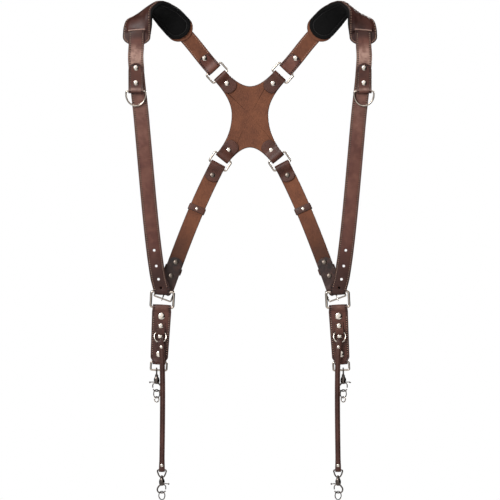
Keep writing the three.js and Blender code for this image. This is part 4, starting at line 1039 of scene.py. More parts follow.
@dataclass(frozen=True)
class Nickel:
    """Polished nickel with faint scratches and tarnish."""

    name: str = "nickel"
    colour: Colour = (222, 212, 200)
    rough: Pair = (0.06, 0.17)

    def material(self) -> Material:
        """Nodes: clouds vary the gloss and tint, and stretched noise draws hairline scratches.

        Returns:
            The material.
        """
        g = Graph(self.name)
        here = g.coordinate("Object")
        cloud = g.noise(here, 170, 5, 0.6)
        lay = g.node("ShaderNodeMapping", {"Vector": here, "Rotation": (0.5, 0.3, 0.8),
                                           "Scale": (1.0, 0.06, 1.0)})
        lines = g.noise(lay, 2600, 2, 0.5)
        base = g.blend(g.span(cloud, 0.35, 0.75), linear(*self.colour),
                       linear(*[int(v * 0.84) for v in self.colour]))
        g.set(Base_Color=base, Metallic=1.0, Roughness=g.span(cloud, 0.3, 0.75, *self.rough),
              Normal=g.relief(lines, 0.00002, 0.35))
        return g.material


@dataclass(frozen=True)
class Thread:
    """Waxed twisted thread."""

    name: str = "thread"
    colour: Colour = (204, 160, 138)

    def material(self) -> Material:
        """Nodes: slanted waves on the UV map twist the strands.

        Returns:
            The material.
        """
        g = Graph(self.name)
        uv = g.coordinate("UV")
        twist = g.node("ShaderNodeTexWave", {"Vector": uv, "Scale": 420.0, "Distortion": 0.4},
                       "Fac", bands_direction="DIAGONAL")
        base = g.blend(twist, linear(*[int(v * 0.6) for v in self.colour]), linear(*self.colour))
        g.set(Base_Color=base, Roughness=0.55, Normal=g.relief(twist, 0.00015, 0.8))
        return g.material


class Finishes:
    """The harness's materials, each made once."""

    def __init__(self) -> None:
        """Makes every finish."""
        self.grain = Grain().material()
        self.sewn = Grain("leather_grain_sewn", (102, 64, 53), (80, 44, 36), seam=3.5).material()
        self.pad = Grain("leather_grain_pad", (66, 38, 32), (46, 25, 21), seam=3.4).material()
        # The dark finish's mark colour is near black, so marks on it are painted shade.
        self.dark = Grain("leather_grain_dark", (82, 48, 37), (58, 31, 23), (22, 11, 8)).material()
        self.tab = Grain("leather_grain_tab", (82, 47, 37), (58, 30, 24), seam=3.6).material()
        self.flesh = Flesh().material()
        self.edge = Burnished().material()
        self.mesh = Mesh().material()
        self.nickel = Nickel().material()
        self.wire = Nickel("nickel_wire", (184, 172, 160), (0.04, 0.12)).material()
        self.dull = Nickel("nickel_dull", (112, 102, 94), (0.28, 0.4)).material()
        self.snap = Nickel("nickel_snap", (88, 80, 75), (0.04, 0.1)).material()
        self.thread = Thread().material()
        self.black_thread = Thread("thread_black", (30, 29, 29)).material()

    def leather(self, grain: Material, node: str, slot: str = "leather_grain") -> "Finish":
        """Leather with a kind of grain, in the order of Face."""
        return Finish((grain, self.flesh, self.edge), slot, nodes=(node,))

    def metal(self, kind: Material, *nodes: str, body: str = "harness") -> "Finish":
        """Metal of a kind on a body."""
        return Finish((kind,), "nickel", body, nodes)

    def sewing(self, slot: str = "leather_grain") -> "Finish":
        """Thread on leather, or black thread on the lining."""
        return Finish((self.thread if slot == "leather_grain" else self.black_thread,), slot)


@dataclass(frozen=True)
class Finish:
    """How a piece is dressed, what it stands for and what it rides on."""

    materials: tuple[Material, ...]
    slot: str
    body: str = "harness"
    nodes: tuple[str, ...] = ()


def make_mesh(name: str, shell: Shell, materials: Sequence[Material]) -> Any:
    """Puts a shell's arrays into a new object.

    Args:
        name: the object's name.
        shell: arrays in millimetres.
        materials: materials by finish index.

    Returns:
        The object, at the origin.
    """
    data = bpy.data.meshes.new(name)
    data.vertices.add(len(shell.points))
    data.vertices.foreach_set("co", (shell.points * MM).astype(np.float32).reshape(-1))
    data.loops.add(len(shell.corners))
    data.loops.foreach_set("vertex_index", shell.corners.astype(np.int32))
    data.polygons.add(len(shell.sizes))
    starts = np.cumsum(shell.sizes) - shell.sizes
    data.polygons.foreach_set("loop_start", starts.astype(np.int32))
    data.polygons.foreach_set("use_smooth", np.ones(len(shell.sizes), bool))
    data.polygons.foreach_set("material_index", shell.finish.astype(np.int32))
    layer = data.uv_layers.new(name="UVMap")
    layer.data.foreach_set("uv", shell.uv.astype(np.float32).reshape(-1))
    # The second attribute holds marks of use, painted highlights and painted shade.
    for key, values in (("rim", shell.rim * MM), ("wear_and_painted_light", shell.wear_and_painted_light)):
        mark = data.attributes.new(key, "FLOAT", "POINT")
        mark.data.foreach_set("value", values.astype(np.float32))
    for material in materials:
        data.materials.append(material)
    data.update(calc_edges=True)
    data.validate()
    thing = bpy.data.objects.new(name, data)
    bpy.context.scene.collection.objects.link(thing)
    return thing


def carved(thing: Any, cutters: Sequence[Any]) -> None:
    """Cuts closed tools out of an object and removes them.

    Args:
        thing: object to cut.
        cutters: closed objects, which are removed.
    """
    for cutter in cutters:
        step = thing.modifiers.new("cut", "BOOLEAN")
        step.operation, step.solver, step.object = "DIFFERENCE", "EXACT", cutter
    bpy.context.view_layer.update()
    graph = bpy.context.evaluated_depsgraph_get()
    old = thing.data
    fresh = bpy.data.meshes.new_from_object(thing.evaluated_get(graph))
    thing.modifiers.clear()
    name, thing.data = old.name, fresh
    bpy.data.meshes.remove(old)
    fresh.name = name
    for cutter in cutters:
        bpy.data.objects.remove(cutter)


def add_piece(name: str, shell: Shell, finish: Finish, side: Side | None = None,
              tools: Sequence[Shell] = ()) -> Any:
    """Makes one piece and its mirror image on the left, ties it to its body and hides the CAD nodes
    it stands for.

    Args:
        name: the piece's name without its side.
        shell: its arrays on the right.
        finish: its materials, slot, body and nodes, without sides.
        side: the side, or none for a piece in the middle.
        tools: shells to cut out of it.

    Returns:
        The finished object.
    """
    tail = f"_{side.value}" if side else ""
    flip = side is Side.LEFT
    thing = make_mesh(f"{name}{tail}", shell.mirrored() if flip else shell, finish.materials)
    if tools:
        cutters = [make_mesh(f"tool_{i}", t.mirrored() if flip else t, finish.materials)
                   for i, t in enumerate(tools)]
        carved(thing, cutters)
    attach(thing, finish.body + ("" if finish.body == "harness" else tail))
    if finish.nodes:
        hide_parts(*[f"{n}{tail}" for n in finish.nodes])
    LOG.info("%s: %d faces", thing.name, len(thing.data.polygons))
    return thing


@dataclass(frozen=True)
class Tongue:
    """A yoke tongue's fold line and the ring and strap that follow it."""

    out: float
    up: float
    heading: float
    ring: float
    strap: float
    slack: float


@dataclass(frozen=True)
class RingSeat:
    """Where a ring hangs between the yoke and a strap."""

    travel: Array
    axis: Array
    yoke_radius: float
    strap_radius: float
    tongue_end: Array
    far_bar: Array
    middle: Array
    to_ring: Array


@dataclass(frozen=True)
class Layout:
    """Sizes and places that several sub-assemblies share."""

    gap: float = 0.3
    strap_width: float = 32.4
    strap_thick: float = 3.0
    tail_width: float = 27.0
    tail_length: float = 190.0
    strap_fold: float = 35.0
    yoke_thick: float = 3.0
    ring_spacing: float = 23.0
    ring_wire: float = 4.0
    shoulder_half: float = 198.6
    chest_depth: float = 45.0
    back_depth: float = 48.0
    pad_top: float = 9.4
    pad_reach: float = 110.0
    pad_rise: float = 88.0
    yoke_drop: float = 219.4
    hip_half: float = 182.3
    hip_drop: float = 605.3
    hip_depth: float = -8.0
    hip_tilt: float = 3.0
    hip_strap_tilt: float = 20.0
    hip_strap_shift: float = 1.5
    frame_spacing: float = 32.4
    frame_wire: float = 5.0
    buckle_wire: float = 3.2
    buckle_inset: float = 6.5
    buckle_rise: float = 6.8
    front_bow: float = 8.0
    # stations of the tail, of its turn at the buckle and of its way round the frame
    tail_stations: int = 26
    turn_stations: int = 8
    wrap_stations: int = 10
    upper_tongue: Tongue = Tongue(64.5, 82.6, 47.3, 47.3, 47.3, 0.0)
    lower_tongue: Tongue = Tongue(59.9, -93.6, -50.6, -56.3, -62.1, 1.6)
    # inward, fall, depth, turn and lean of the pad's sections from the front
    pad_sections: tuple[tuple[float, ...], ...] = (
        (-0.335, 1.0, -1.0, 0, 0), (-0.328, 0.7, -1.0, 4, 0), (-0.3, 0.47, -0.94, 18, 5),
        (-0.2, 0.23, -0.72, 51, 17), (0, 0.05, -0.3, 72, 14), (0.15, 0.13, 0.12, 58, 28),
        (0.29, 0.31, 0.42, 30, 40), (0.48, 0.58, 0.62, 8, 43), (0.63, 0.79, 0.72, 0, 43))
    # share of the way up the front and share of the bow
    front_bows: tuple[Pair, ...] = (
        (0.05, 0.55), (0.11, 0.8), (0.2, 0.95), (0.3, 0.98), (0.4, 0.93), (0.5, 0.84),
        (0.6, 0.74), (0.72, 0.63), (0.9, 0.62), (0.96, 0.42))

    @cached_property
    def hip(self) -> Place:
        """Hip frame's place: X outwards, Y to the back and Z up along the tab.

        Returns:
            The place.
        """
        c, s = math.cos(math.radians(self.hip_tilt)), math.sin(math.radians(self.hip_tilt))
        axes = np.array([[c, 0, s], [0, 1, 0], [-s, 0, c]])
        return Place(np.array([self.hip_half, self.hip_depth, -self.hip_drop]), axes)

    def hip_upright(self, x: float, y: float, z: float) -> Place:
        """Place on the hip with local Y up the tab and Z to the front."""
        return place(self.hip.put([x, y, z]), self.hip.turn(1, 0, 0), self.hip.turn(0, 0, 1))

    def seat(self, tongue: Tongue) -> RingSeat:
        """Ring between a tongue and its strap.

        Args:
            tongue: the tongue's sizes.

        Returns:
            The ring's seat.
        """
        travel, axis = heading(tongue.heading), heading(tongue.ring)
        near = self.ring_wire / 2 + self.gap + tongue.slack
        yoke, strap = near + self.yoke_thick / 2, near + self.strap_thick / 2
        end = np.array([tongue.out, self.back_depth, tongue.up - self.yoke_drop])
        tongue_end = end - travel * (yoke + self.yoke_thick / 2)
        bar = tongue_end - Y_AXIS * yoke
        return RingSeat(travel, axis, yoke, strap, tongue_end, bar + axis * self.ring_spacing,
                        bar + axis * self.ring_spacing / 2, -heading(tongue.strap))

    @cached_property
    def upper(self) -> RingSeat:
        """Upper ring's seat."""
        return self.seat(self.upper_tongue)

    @cached_property
    def lower(self) -> RingSeat:
        """Lower ring's seat."""
        return self.seat(self.lower_tongue)

    def over(self, wire_thick: float, thick: float) -> float:
        """Middle of leather of a thickness over the middle of a wire."""
        return wire_thick / 2 + self.gap + thick / 2

    @property
    def frame_layer(self) -> float:
        """Strap's middle over the hip frame's bar."""
        return self.over(self.frame_wire, self.strap_thick)

    @property
    def chape_layer(self) -> float:
        """Strap's middle over the buckle's bar."""
        return self.over(self.buckle_wire, self.strap_thick)

    @property
    def tail_layer(self) -> float:
        """Tail's middle over the buckle's bar."""
        return self.chape_layer + self.strap_thick + 2 * self.gap

    @cached_property
    def buckle_bar(self) -> Array:
        """Middle of the buckle's bar."""
        back = self.frame_layer + self.strap_thick + self.chape_layer + 3
        return self.hip.put([-self.buckle_inset, back, self.frame_spacing / 2 + self.buckle_rise])

    @cached_property
    def strap_down(self) -> Array:
        """Direction down the back strap at the hip."""
        t = math.radians(self.hip_strap_tilt)
        return np.array([math.sin(t), 0, -math.cos(t)])

    @cached_property
    def bar_across(self) -> Array:
        """Direction across the back strap at the hip."""
        t = math.radians(self.hip_strap_tilt)
        return np.array([-math.cos(t), 0, -math.sin(t)])

    @cached_property
    def back(self) -> Chain:
        """Back strap's line from the lower ring to the buckle.

        Returns:
            The line, downwards.
        """
        length = float(np.linalg.norm(self.lower.far_bar - self.buckle_bar))
        fall = self.back_depth - (self.buckle_bar[1] + self.chape_layer)
        slope = Y_AXIS * (-fall / length)
        top = unit(-self.lower.to_ring + slope)
        across = unit(np.cross(top, Y_AXIS))
        across = across * np.sign(np.cross(top, across)[1])
        out = unit(np.cross(top, across))
        start = Spot(self.lower.far_bar + out * self.lower.strap_radius, top, across, out, 0)
        foot = unit(self.strap_down + slope)
        out = unit(np.cross(foot, self.bar_across))
        end = Spot(self.buckle_bar + out * self.chape_layer, foot, self.bar_across, out, 0)
        return bar_run(start, end, 9, self.strap_width / 2)

    @cached_property
    def tail(self) -> Chain:
        """Adjusting tail up the back strap, and its way round the buckle and the hip frame.

        Returns:
            The line from the free end to the foot of the front.
        """
        length = self.back.length
        cut = np.linspace(length - self.tail_length, length, self.tail_stations)
        point, _, across, outward, _ = self.back.sample(cut)
        half = self.tail_width / 2
        tail = Chain(point + outward * (self.strap_thick + self.gap), across,
                     np.full(len(cut), half))
        last = self.back.spot(length)
        frame_bar = self.hip.put([0, 0, self.frame_spacing / 2])
        dy, dz = (self.buckle_bar - frame_bar)[1:]
        fall = math.atan2(dz, dy) - math.asin((self.tail_layer - self.frame_layer)
                                              / math.hypot(dy, dz))
        share = np.arange(1, self.turn_stations + 1) / self.turn_stations
        angle = share[:, None] * (np.pi / 2 - fall)
        turns = self.buckle_bar + self.tail_layer * (last.outward * np.cos(angle)
                                                     + last.travel * np.sin(angle))
        share = np.linspace(0, 1, self.wrap_stations)[:, None]
        angle = lerp(-fall, np.pi / 2, share)
        layer = self.frame_layer + 3 * self.gap * (1 - share)
        across = self.hip.turn(-1, 0, 0)
        wraps = frame_bar + layer * (self.hip.turn(0, 0, -1) * np.cos(angle)
                                     - Y_AXIS * np.sin(angle)) - across * self.hip_strap_shift
        width = lerp(half, self.strap_width / 2, share[:, 0])
        return linked(tail, level(turns, last.across, half), level(wraps, across, width))

    @cached_property
    def pad(self) -> Chain:
        """Line of the strap through the pad.

        It is a centripetal cubic through the sections, with two spans for each. The width's
        direction is (−cos turn·cos lean, −sin turn·cos lean, sin lean).

        Returns:
            The line from the front over the shoulder to the back.
        """
        inward, fall, depth, turn, lean = np.array(self.pad_sections, float).T
        scale = np.where(depth < 0, self.chest_depth, self.back_depth)
        knots = np.stack([self.shoulder_half - inward * self.pad_reach, depth * scale,
                          self.pad_top - fall * self.pad_rise], -1)
        turn, lean = np.radians(turn), np.radians(lean)
        across = np.stack([-np.cos(turn) * np.cos(lean), -np.sin(turn) * np.cos(lean),
                           np.sin(lean)], -1)
        p = np.concatenate([2 * knots[:1] - knots[1:2], knots, 2 * knots[-1:] - knots[-2:-1]])
        p0, p1, p2, p3 = p[:-3], p[1:-2], p[2:-1], p[3:]
        d0, d1, d2 = (np.sqrt(np.linalg.norm(b - a, axis=1, keepdims=True))
                      for a, b in ((p0, p1), (p1, p2), (p2, p3)))
        m1 = ((p1 - p0) / d0 - (p2 - p0) / (d0 + d1) + (p2 - p1) / d1) * d1
        m2 = ((p2 - p1) / d1 - (p3 - p1) / (d1 + d2) + (p3 - p2) / d2) * d1
        middle = (p1 + p2) / 2 + (m1 - m2) / 8
        points = np.empty((2 * len(knots) - 1, 3))
        points[::2], points[1::2] = knots, middle
        wide = np.empty_like(points)
        wide[::2], wide[1::2] = across, unit(across[:-1] + across[1:])
        return Chain(points, wide, np.full(len(points), self.strap_width / 2))

    @cached_property
    def shoulder(self) -> Chain:
        """Whole shoulder strap: tail, hip frame, front, pad and down the back to the ring.

        Returns:
            The line from the free end to the upper ring.
        """
        half = self.strap_width / 2
        foot, pad_front = self.tail.points[-1], self.pad.points[0]
        share, bow = np.array(self.front_bows).T
        points = foot + (pad_front - foot) * share[:, None]
        points = points + X_AXIS * (bow * self.front_bow)[:, None]
        front = level(points, -X_AXIS, half)
        end = self.pad.spot(self.pad.length)
        away = float(np.linalg.norm(end.point - self.upper.far_bar))
        travel = unit(self.upper.to_ring + Y_AXIS * (self.back_depth - end.point[1]) / away)
        across = -np.cross(travel, Y_AXIS)
        across = across * np.sign(np.cross(travel, across)[1])
        out = unit(np.cross(travel, across))
        ring = Spot(self.upper.far_bar + out * self.upper.strap_radius, travel, across, out, 0)
        back = bar_run(end, ring, 5, half)
        back = Chain(back.points[1:], back.across[1:], back.half[1:])
        return linked(self.tail, front, self.pad, back)

    @cached_property
    def pad_start(self) -> float:
        """Distance along the shoulder strap at which the pad's line starts."""
        return float(self.shoulder.reach[len(self.tail.points) + len(self.front_bows)])


@dataclass(frozen=True)
class Part:
    """Sub-assembly made from the shared layout and finishes."""

    layout: Layout
    finishes: Finishes


@dataclass(frozen=True)
class ShoulderStrap(Part):
    """Long stitched strap with its holes and ring fold."""

    hole: float = 5.4
    end_round: float = 12.0
    rivet_from_fold: float = 34.0
    holes: tuple[float, ...] = (8.5, 27.0, 55.0, 88.0)
    # distance from the pad's start, spread and strength: rubbed leather below the pad, and painted
    # shade under the pad's lip
    pad_wear: tuple[Triple, ...] = (
        (-24, 26, 0.8), (-115, 60, 0.22), (-200, 60, 0.1), (24, 12, -0.8))
    foot_shade: Pair = (90, -1.0)
    # where the thread starts and ends: past the tail's end, the foot and the pad's ends
    tail_thread: Pair = (14, 34)
    foot_thread: float = 6
    face_thread: Pair = (30, 26)
    back_thread: Pair = (16, 12)
    end_thread: float = 4

    def build(self, side: Side) -> None:
        """Strap, thread and rivet of one side.

        Args:
            side: the side to build.
        """
        lay, f = self.layout, self.finishes
        chain = lay.shoulder
        folded = chain.folded(-1, lay.upper.strap_radius, lay.strap_thick + lay.gap, lay.strap_fold)
        foot, pad = lay.tail.length, lay.pad_start
        spots = [chain.spot(foot + d) for d in self.holes]
        strap = Strap(lay.strap_thick, seam=3.5)
        worn = [(pad + d, *rest) for d, *rest in self.pad_wear] + [(foot, *self.foot_shade)]
        shell = strap.shell(folded, self.end_round, self.end_round, worn,
                            [s.point for s in spots])
        r, deep = self.hole / 2, lay.strap_thick * 3
        tool = turned([(0.1, -deep), (r, -deep), (r, deep), (0.1, deep)], 24)
        tool = replace(tool, finish=np.full(len(tool.finish), Face.EDGE.value))
        tools = [tool.placed(place(s.point, s.across, np.cross(s.outward, s.across)))
                 for s in spots]
        add_piece("shoulder_strap_leather", shell, f.leather(f.sewn, "shoulder_strap"), side, tools)
        lift = lay.strap_thick / 2 + 0.05
        front, back = ([(foot + self.foot_thread, pad + near),
                        (pad + lay.pad.length - far, chain.length - self.end_thread)]
                       for near, far in (self.face_thread, self.back_thread))
        back.insert(0, (self.tail_thread[0], foot - self.tail_thread[1]))
        stitch = Stitch()
        thread = merged(stitch.seams(chain, front, lift), stitch.seams(chain, back, -lift))
        add_piece("shoulder_strap_thread", thread, f.sewing(), side)
        back_by = self.rivet_from_fold - lay.upper.strap_radius - lay.strap_thick / 2
        head = Rivet().on(chain.spot(chain.length - back_by), lay.strap_thick * 1.5 + lay.gap, -1)
        cap = CAP.on(chain.spot(chain.length - back_by), lay.strap_thick / 2, 1)
        add_piece("shoulder_strap_rivet", merged(head, cap), f.metal(f.nickel), side)


@dataclass(frozen=True)
class Pad(Part):
    """Shoulder pad: grain leather over a black padded lining, sewn together round its border."""

    width: float = 58.0
    leather: float = 2.4
    front_round: float = 18.0
    back_round: float = 27.0
    lining: float = 5.0
    margin: float = 8.0
    slit: float = 31.0
    slit_tilt: float = 0.16
    seam: float = 3.4
    quilt: float = 8.0
    columns: int = 45
    edge_angles: tuple[float, ...] = (60.0, 30.0, 0.0, -30.0, -60.0)
    edge_reach: float = 1.1
    end_length: float = 1.0
    end_least: float = 0.12
    groove: float = 0.4
    groove_spread: float = 0.6
    crown: float = 1.3
    crown_half: float = 22.0
    fall_width: float = 12.4
    slot_width: float = 5.0
    slit_run: float = 1.4
    side_run: float = 16.0
    lip_height: float = 0.9
    lip_shift: float = 1.5
    lip_spread: float = 2.6
    roll_width: float = 3.2
    roll_height: float = 2.4
    quilt_depth: float = 1.5
    swell: float = 0.9
    swell_width: float = 14.0
    stitch_pitch: float = 4.6

    @property
    def over(self) -> float:
        """Leather's middle over the strap's middle."""
        return self.layout.over(self.layout.strap_thick, self.leather)

    @property
    def base(self) -> float:
        """Height of the lining's underside."""
        return -self.over - self.leather / 2 - self.layout.gap - self.lining

    def plan(self, margin: float, fine: Array) -> tuple[Array, Array]:
        """Distances along the pad and half widths of its plan.

        The half width is w·√(1 − (1 − d/r)²) within the rounding length r of an end.

        Args:
            margin: distance of the plan's ends from the pad line's ends.
            fine: shares along the plan.

        Returns:
            Distances and half widths.
        """
        low, high = margin, self.layout.pad.length - margin
        s = lerp(low, high, fine)
        away = np.minimum((s - low) / self.front_round, (high - s) / self.back_round)
        return s, self.width / 2 * rounding(away, 0.0005)

    def shares(self, marks: Sequence[float] = ()) -> Array:
        """Shares along the plan, close together at both ends and at marks.

        Args:
            marks: shares near which stations lie close together.

        Returns:
            Rising shares from 0 to 1.
        """
        end = np.array([0, 0.0006, 0.002, 0.005, 0.009, 0.014, 0.021, 0.03, 0.04, 0.052, 0.066])
        parts = [end, 1 - end, np.linspace(0.08, 0.92, 90)]
        parts += [m + np.linspace(-0.02, 0.02, 25) for m in marks]
        return np.unique(np.round(np.clip(np.concatenate(parts), 0, 1), 4))

    def world(self, s: Array, x: Array, z: Array) -> Array:
        """Points at a distance along the pad, across it and over its line.

        Args:
            s: distances along the pad.
            x: distances across it.
            z: heights over its line.

        Returns:
            Points in the harness's frame.
        """
        fine = self.layout.pad.smoothed(3.0)
        flat = s.reshape(-1)
        point, _, across, outward, _ = fine.sample(flat)
        points = point + across * x.reshape(-1, 1) + outward * z.reshape(-1, 1)
        return points.reshape(*s.shape, 3)

    def border(self, margin: float) -> Array:
        """Closed outline of the plan as pairs of distance and side."""
        s, half = self.plan(margin, np.linspace(0, 1, 400))
        return np.concatenate([np.stack([s, half], -1), np.stack([s, -half], -1)[::-1]])

    def inside(self, s: Array, x: Array, margin: float) -> Array:
        """Distance of plan points to the outline, by the nearest of its points.

        Args:
            s: distances along the pad.
            x: distances across it.
            margin: the outline's margin.

        Returns:
            Distances to the outline.
        """
        outline = self.border(margin)
        flat = np.stack([s.reshape(-1), x.reshape(-1)], -1)
        gaps = np.linalg.norm(flat[:, None] - outline[None], axis=-1).min(axis=1)
        return gaps.reshape(s.shape)

    def lift(self, s: Array, x: Array) -> Array:
        """Height of the leather's middle.

        Under the strap at the ends and over it between them, it steps sharply in the slit and
        over 16 mm beside it, and falls to the lining's edge outside the strap.

        Args:
            s: distances along the pad.
            x: distances across it.

        Returns:
            Heights over the pad's line.
        """
        lay = self.layout
        total = lay.pad.length
        slot = smooth((np.abs(x) - lay.strap_width / 2 - 0.5) / self.slot_width)
        run = lerp(self.slit_run, self.side_run, slot)
        from_end = np.minimum(s, total - s)
        tilt = np.where(s < total / 2, self.slit_tilt, 0.0) * (1 - slot)
        step = smooth((from_end - self.slit - x * tilt) / run + 0.5)
        middle = lerp(-self.over, self.over, step)
        top = np.minimum(middle - self.leather / 2 - 2 * lay.gap, -lay.strap_thick / 2 - lay.gap)
        edge = np.minimum(middle, top + lay.gap + self.leather / 2)
        fall = smooth((np.abs(x) - lay.strap_width / 2 - 0.2) / self.fall_width)
        middle = middle + self.crown * step * np.clip(1 - (x / self.crown_half) ** 2, 0, 1)
        lip = bump(from_end - x * tilt, self.slit + self.lip_shift, self.lip_spread) * (1 - slot)
        return lerp(middle, edge, fall) + self.lip_height * lip

    def leather_shell(self) -> Shell:
        """Leather of both faces: a grid of plan points lifted to lift(s, x) ± half its thickness.

        Its edge is a half circle, and the face dips along the seam.

        Returns:
            The leather's shell.
        """
        total = self.layout.pad.length
        fine = self.shares([self.slit / total, 1 - self.slit / total])
        s, half = self.plan(0, fine)
        n = self.columns
        share = np.linspace(-1, 1, n)
        share = np.sign(share) * np.abs(share) ** 0.9
        theta = np.radians(self.edge_angles)
        edge, face = np.ones(len(theta)), np.ones(n)
        across = np.concatenate([share[::-1], -edge, share, edge])
        level = np.concatenate([face, np.sin(theta), -face, -np.sin(theta)])
        shrink = np.clip(half / (self.width / 2), 0.05, 1)[:, None]
        bulge = np.concatenate([face * 0, np.cos(theta)] * 2) - self.edge_reach
        x = across * (half[:, None] + bulge * shrink)
        dist = np.broadcast_to(s[:, None], x.shape)
        height = self.lift(dist, x)
        rim = self.inside(dist, x, 0.0)
        away = np.minimum(dist, total - dist)
        thin = rounding(away / self.end_length, self.end_least)
        groove = self.groove * bump(rim, self.seam, self.groove_spread) * (level > 0.9)
        points = self.world(dist, x, height + level * self.leather / 2 * thin - groove)
        width = np.concatenate([np.abs(x - x[:, :1]), x[:, :1] * 0], axis=1)
        finish = np.repeat([Face.GRAIN.value, Face.EDGE.value, Face.FLESH.value,
                            Face.EDGE.value], [n - 1, 6, n - 1, 6])
        lip = dist - self.slit - x * self.slit_tilt
        # Painted highlight along the slit's lip, and a faint painted sheen on the crown near the
        # top of the shoulder.
        wear_and_painted_light = 1.6 * bump(lip, 0.6, 1.1) * (np.abs(x) < 18)
        wear_and_painted_light = wear_and_painted_light + 0.22 * bump(dist, 80, 35) * bump(x, 6, 12)
        return grid(points, sheet_uv(width, s), finish=finish, rim=rim, wear_and_painted_light=wear_and_painted_light,
                    cap=Face.EDGE.value)

    def lining_shell(self) -> Shell:
        """Padded lining: a closed form that swells between its edge and its quilted seam.

        At d from the border its underside rises by roll height·(1 − √(1 − (1 − d/width)²)) near
        the edge and by depth·exp(−((d − quilt)/1.5)²) in the seam, and swells beyond it.

        Returns:
            The lining's shell.
        """
        fine = self.shares()
        s, half = self.plan(self.margin, fine)
        v = np.sin(np.linspace(-np.pi / 2, np.pi / 2, 61))
        x = np.concatenate([v[::-1], v])[None, :] * half[:, None]
        dist = np.broadcast_to(s[:, None], x.shape)
        d = self.inside(dist, x, self.margin)
        middle = self.lift(dist, x)
        top = np.minimum(middle - self.leather / 2 - 0.2, 0.2)
        roll = 1 - rounding(d / self.roll_width, 0)
        under = self.base + self.roll_height * roll + self.quilt_depth * bump(d, self.quilt, 1.5) \
            - self.swell * smooth((d - self.quilt) / self.swell_width) + 0.5
        upper = np.minimum(top, self.base + self.lining - 1.2 * roll + 3)
        upper = np.maximum(upper, under + 0.3 + 2.0 * (1 - roll))
        is_top = np.concatenate([np.ones(61), np.zeros(61)])[None, :] > 0.5
        z = np.where(is_top, upper, under)
        points = self.world(dist, x, z)
        width = np.concatenate([x, x[:, :1]], axis=1)
        return grid(points, sheet_uv(width, s), rim=d)

    def seam_stitches(self, margin: float, inset: float, level: int) -> Shell:
        """Thread along the outline moved inwards, on the leather or under the lining.

        Args:
            margin: the outline's margin.
            inset: distance in from the outline.
            level: 1 on the leather's face, or -1 on the lining's.

        Returns:
            The passes' shell.
        """
        outline = self.border(margin)
        gaps = np.linalg.norm(np.roll(outline, -1, 0) - outline, axis=1)
        outline = outline[gaps > 0.02]
        loop = np.concatenate([outline, outline[:1]])
        known = travelled(loop)
        count = 2 * int(known[-1] / self.stitch_pitch)
        at = (np.arange(count) + 0.5) / count * known[-1]
        flat = np.stack([np.interp(at, known, c) for c in loop.T], -1)
        along = unit(np.roll(flat, -1, 0) - np.roll(flat, 1, 0))
        flat = flat + np.stack([along[:, 1], -along[:, 0]], -1) * inset
        if level > 0:
            height = self.lift(flat[:, 0], flat[:, 1]) + self.leather / 2 - 0.25
        else:
            height = np.full(len(flat), self.base + self.quilt_depth + 0.2)
        world = self.world(flat[:, 0], flat[:, 1], height)
        raised = self.world(flat[:, 0], flat[:, 1], height + level)
        direction = (np.roll(world, -1, 0) - np.roll(world, 1, 0))[::2]
        outward = unit(raised - world)[::2]
        direction = direction - outward * np.sum(direction * outward, 1, keepdims=True)
        return Stitch(share=0.66).passes(world[::2], unit(direction), outward)

    def build(self, side: Side) -> None:
        """Leather, lining and thread of one pad.

        Args:
            side: the side to build.
        """
        f = self.finishes
        add_piece("pad_cover", self.leather_shell(), f.leather(f.pad, "pad_leather"), side)
        lining = add_piece("pad_cushion", self.lining_shell(), Finish(
            (f.mesh,), "lining", nodes=("pad_lining",)), side)
        add_piece("pad_thread", self.seam_stitches(0.0, self.seam, 1), f.sewing(), side)
        add_piece("pad_quilting", self.seam_stitches(self.margin, self.quilt, -1),
                  f.sewing("lining"), side)


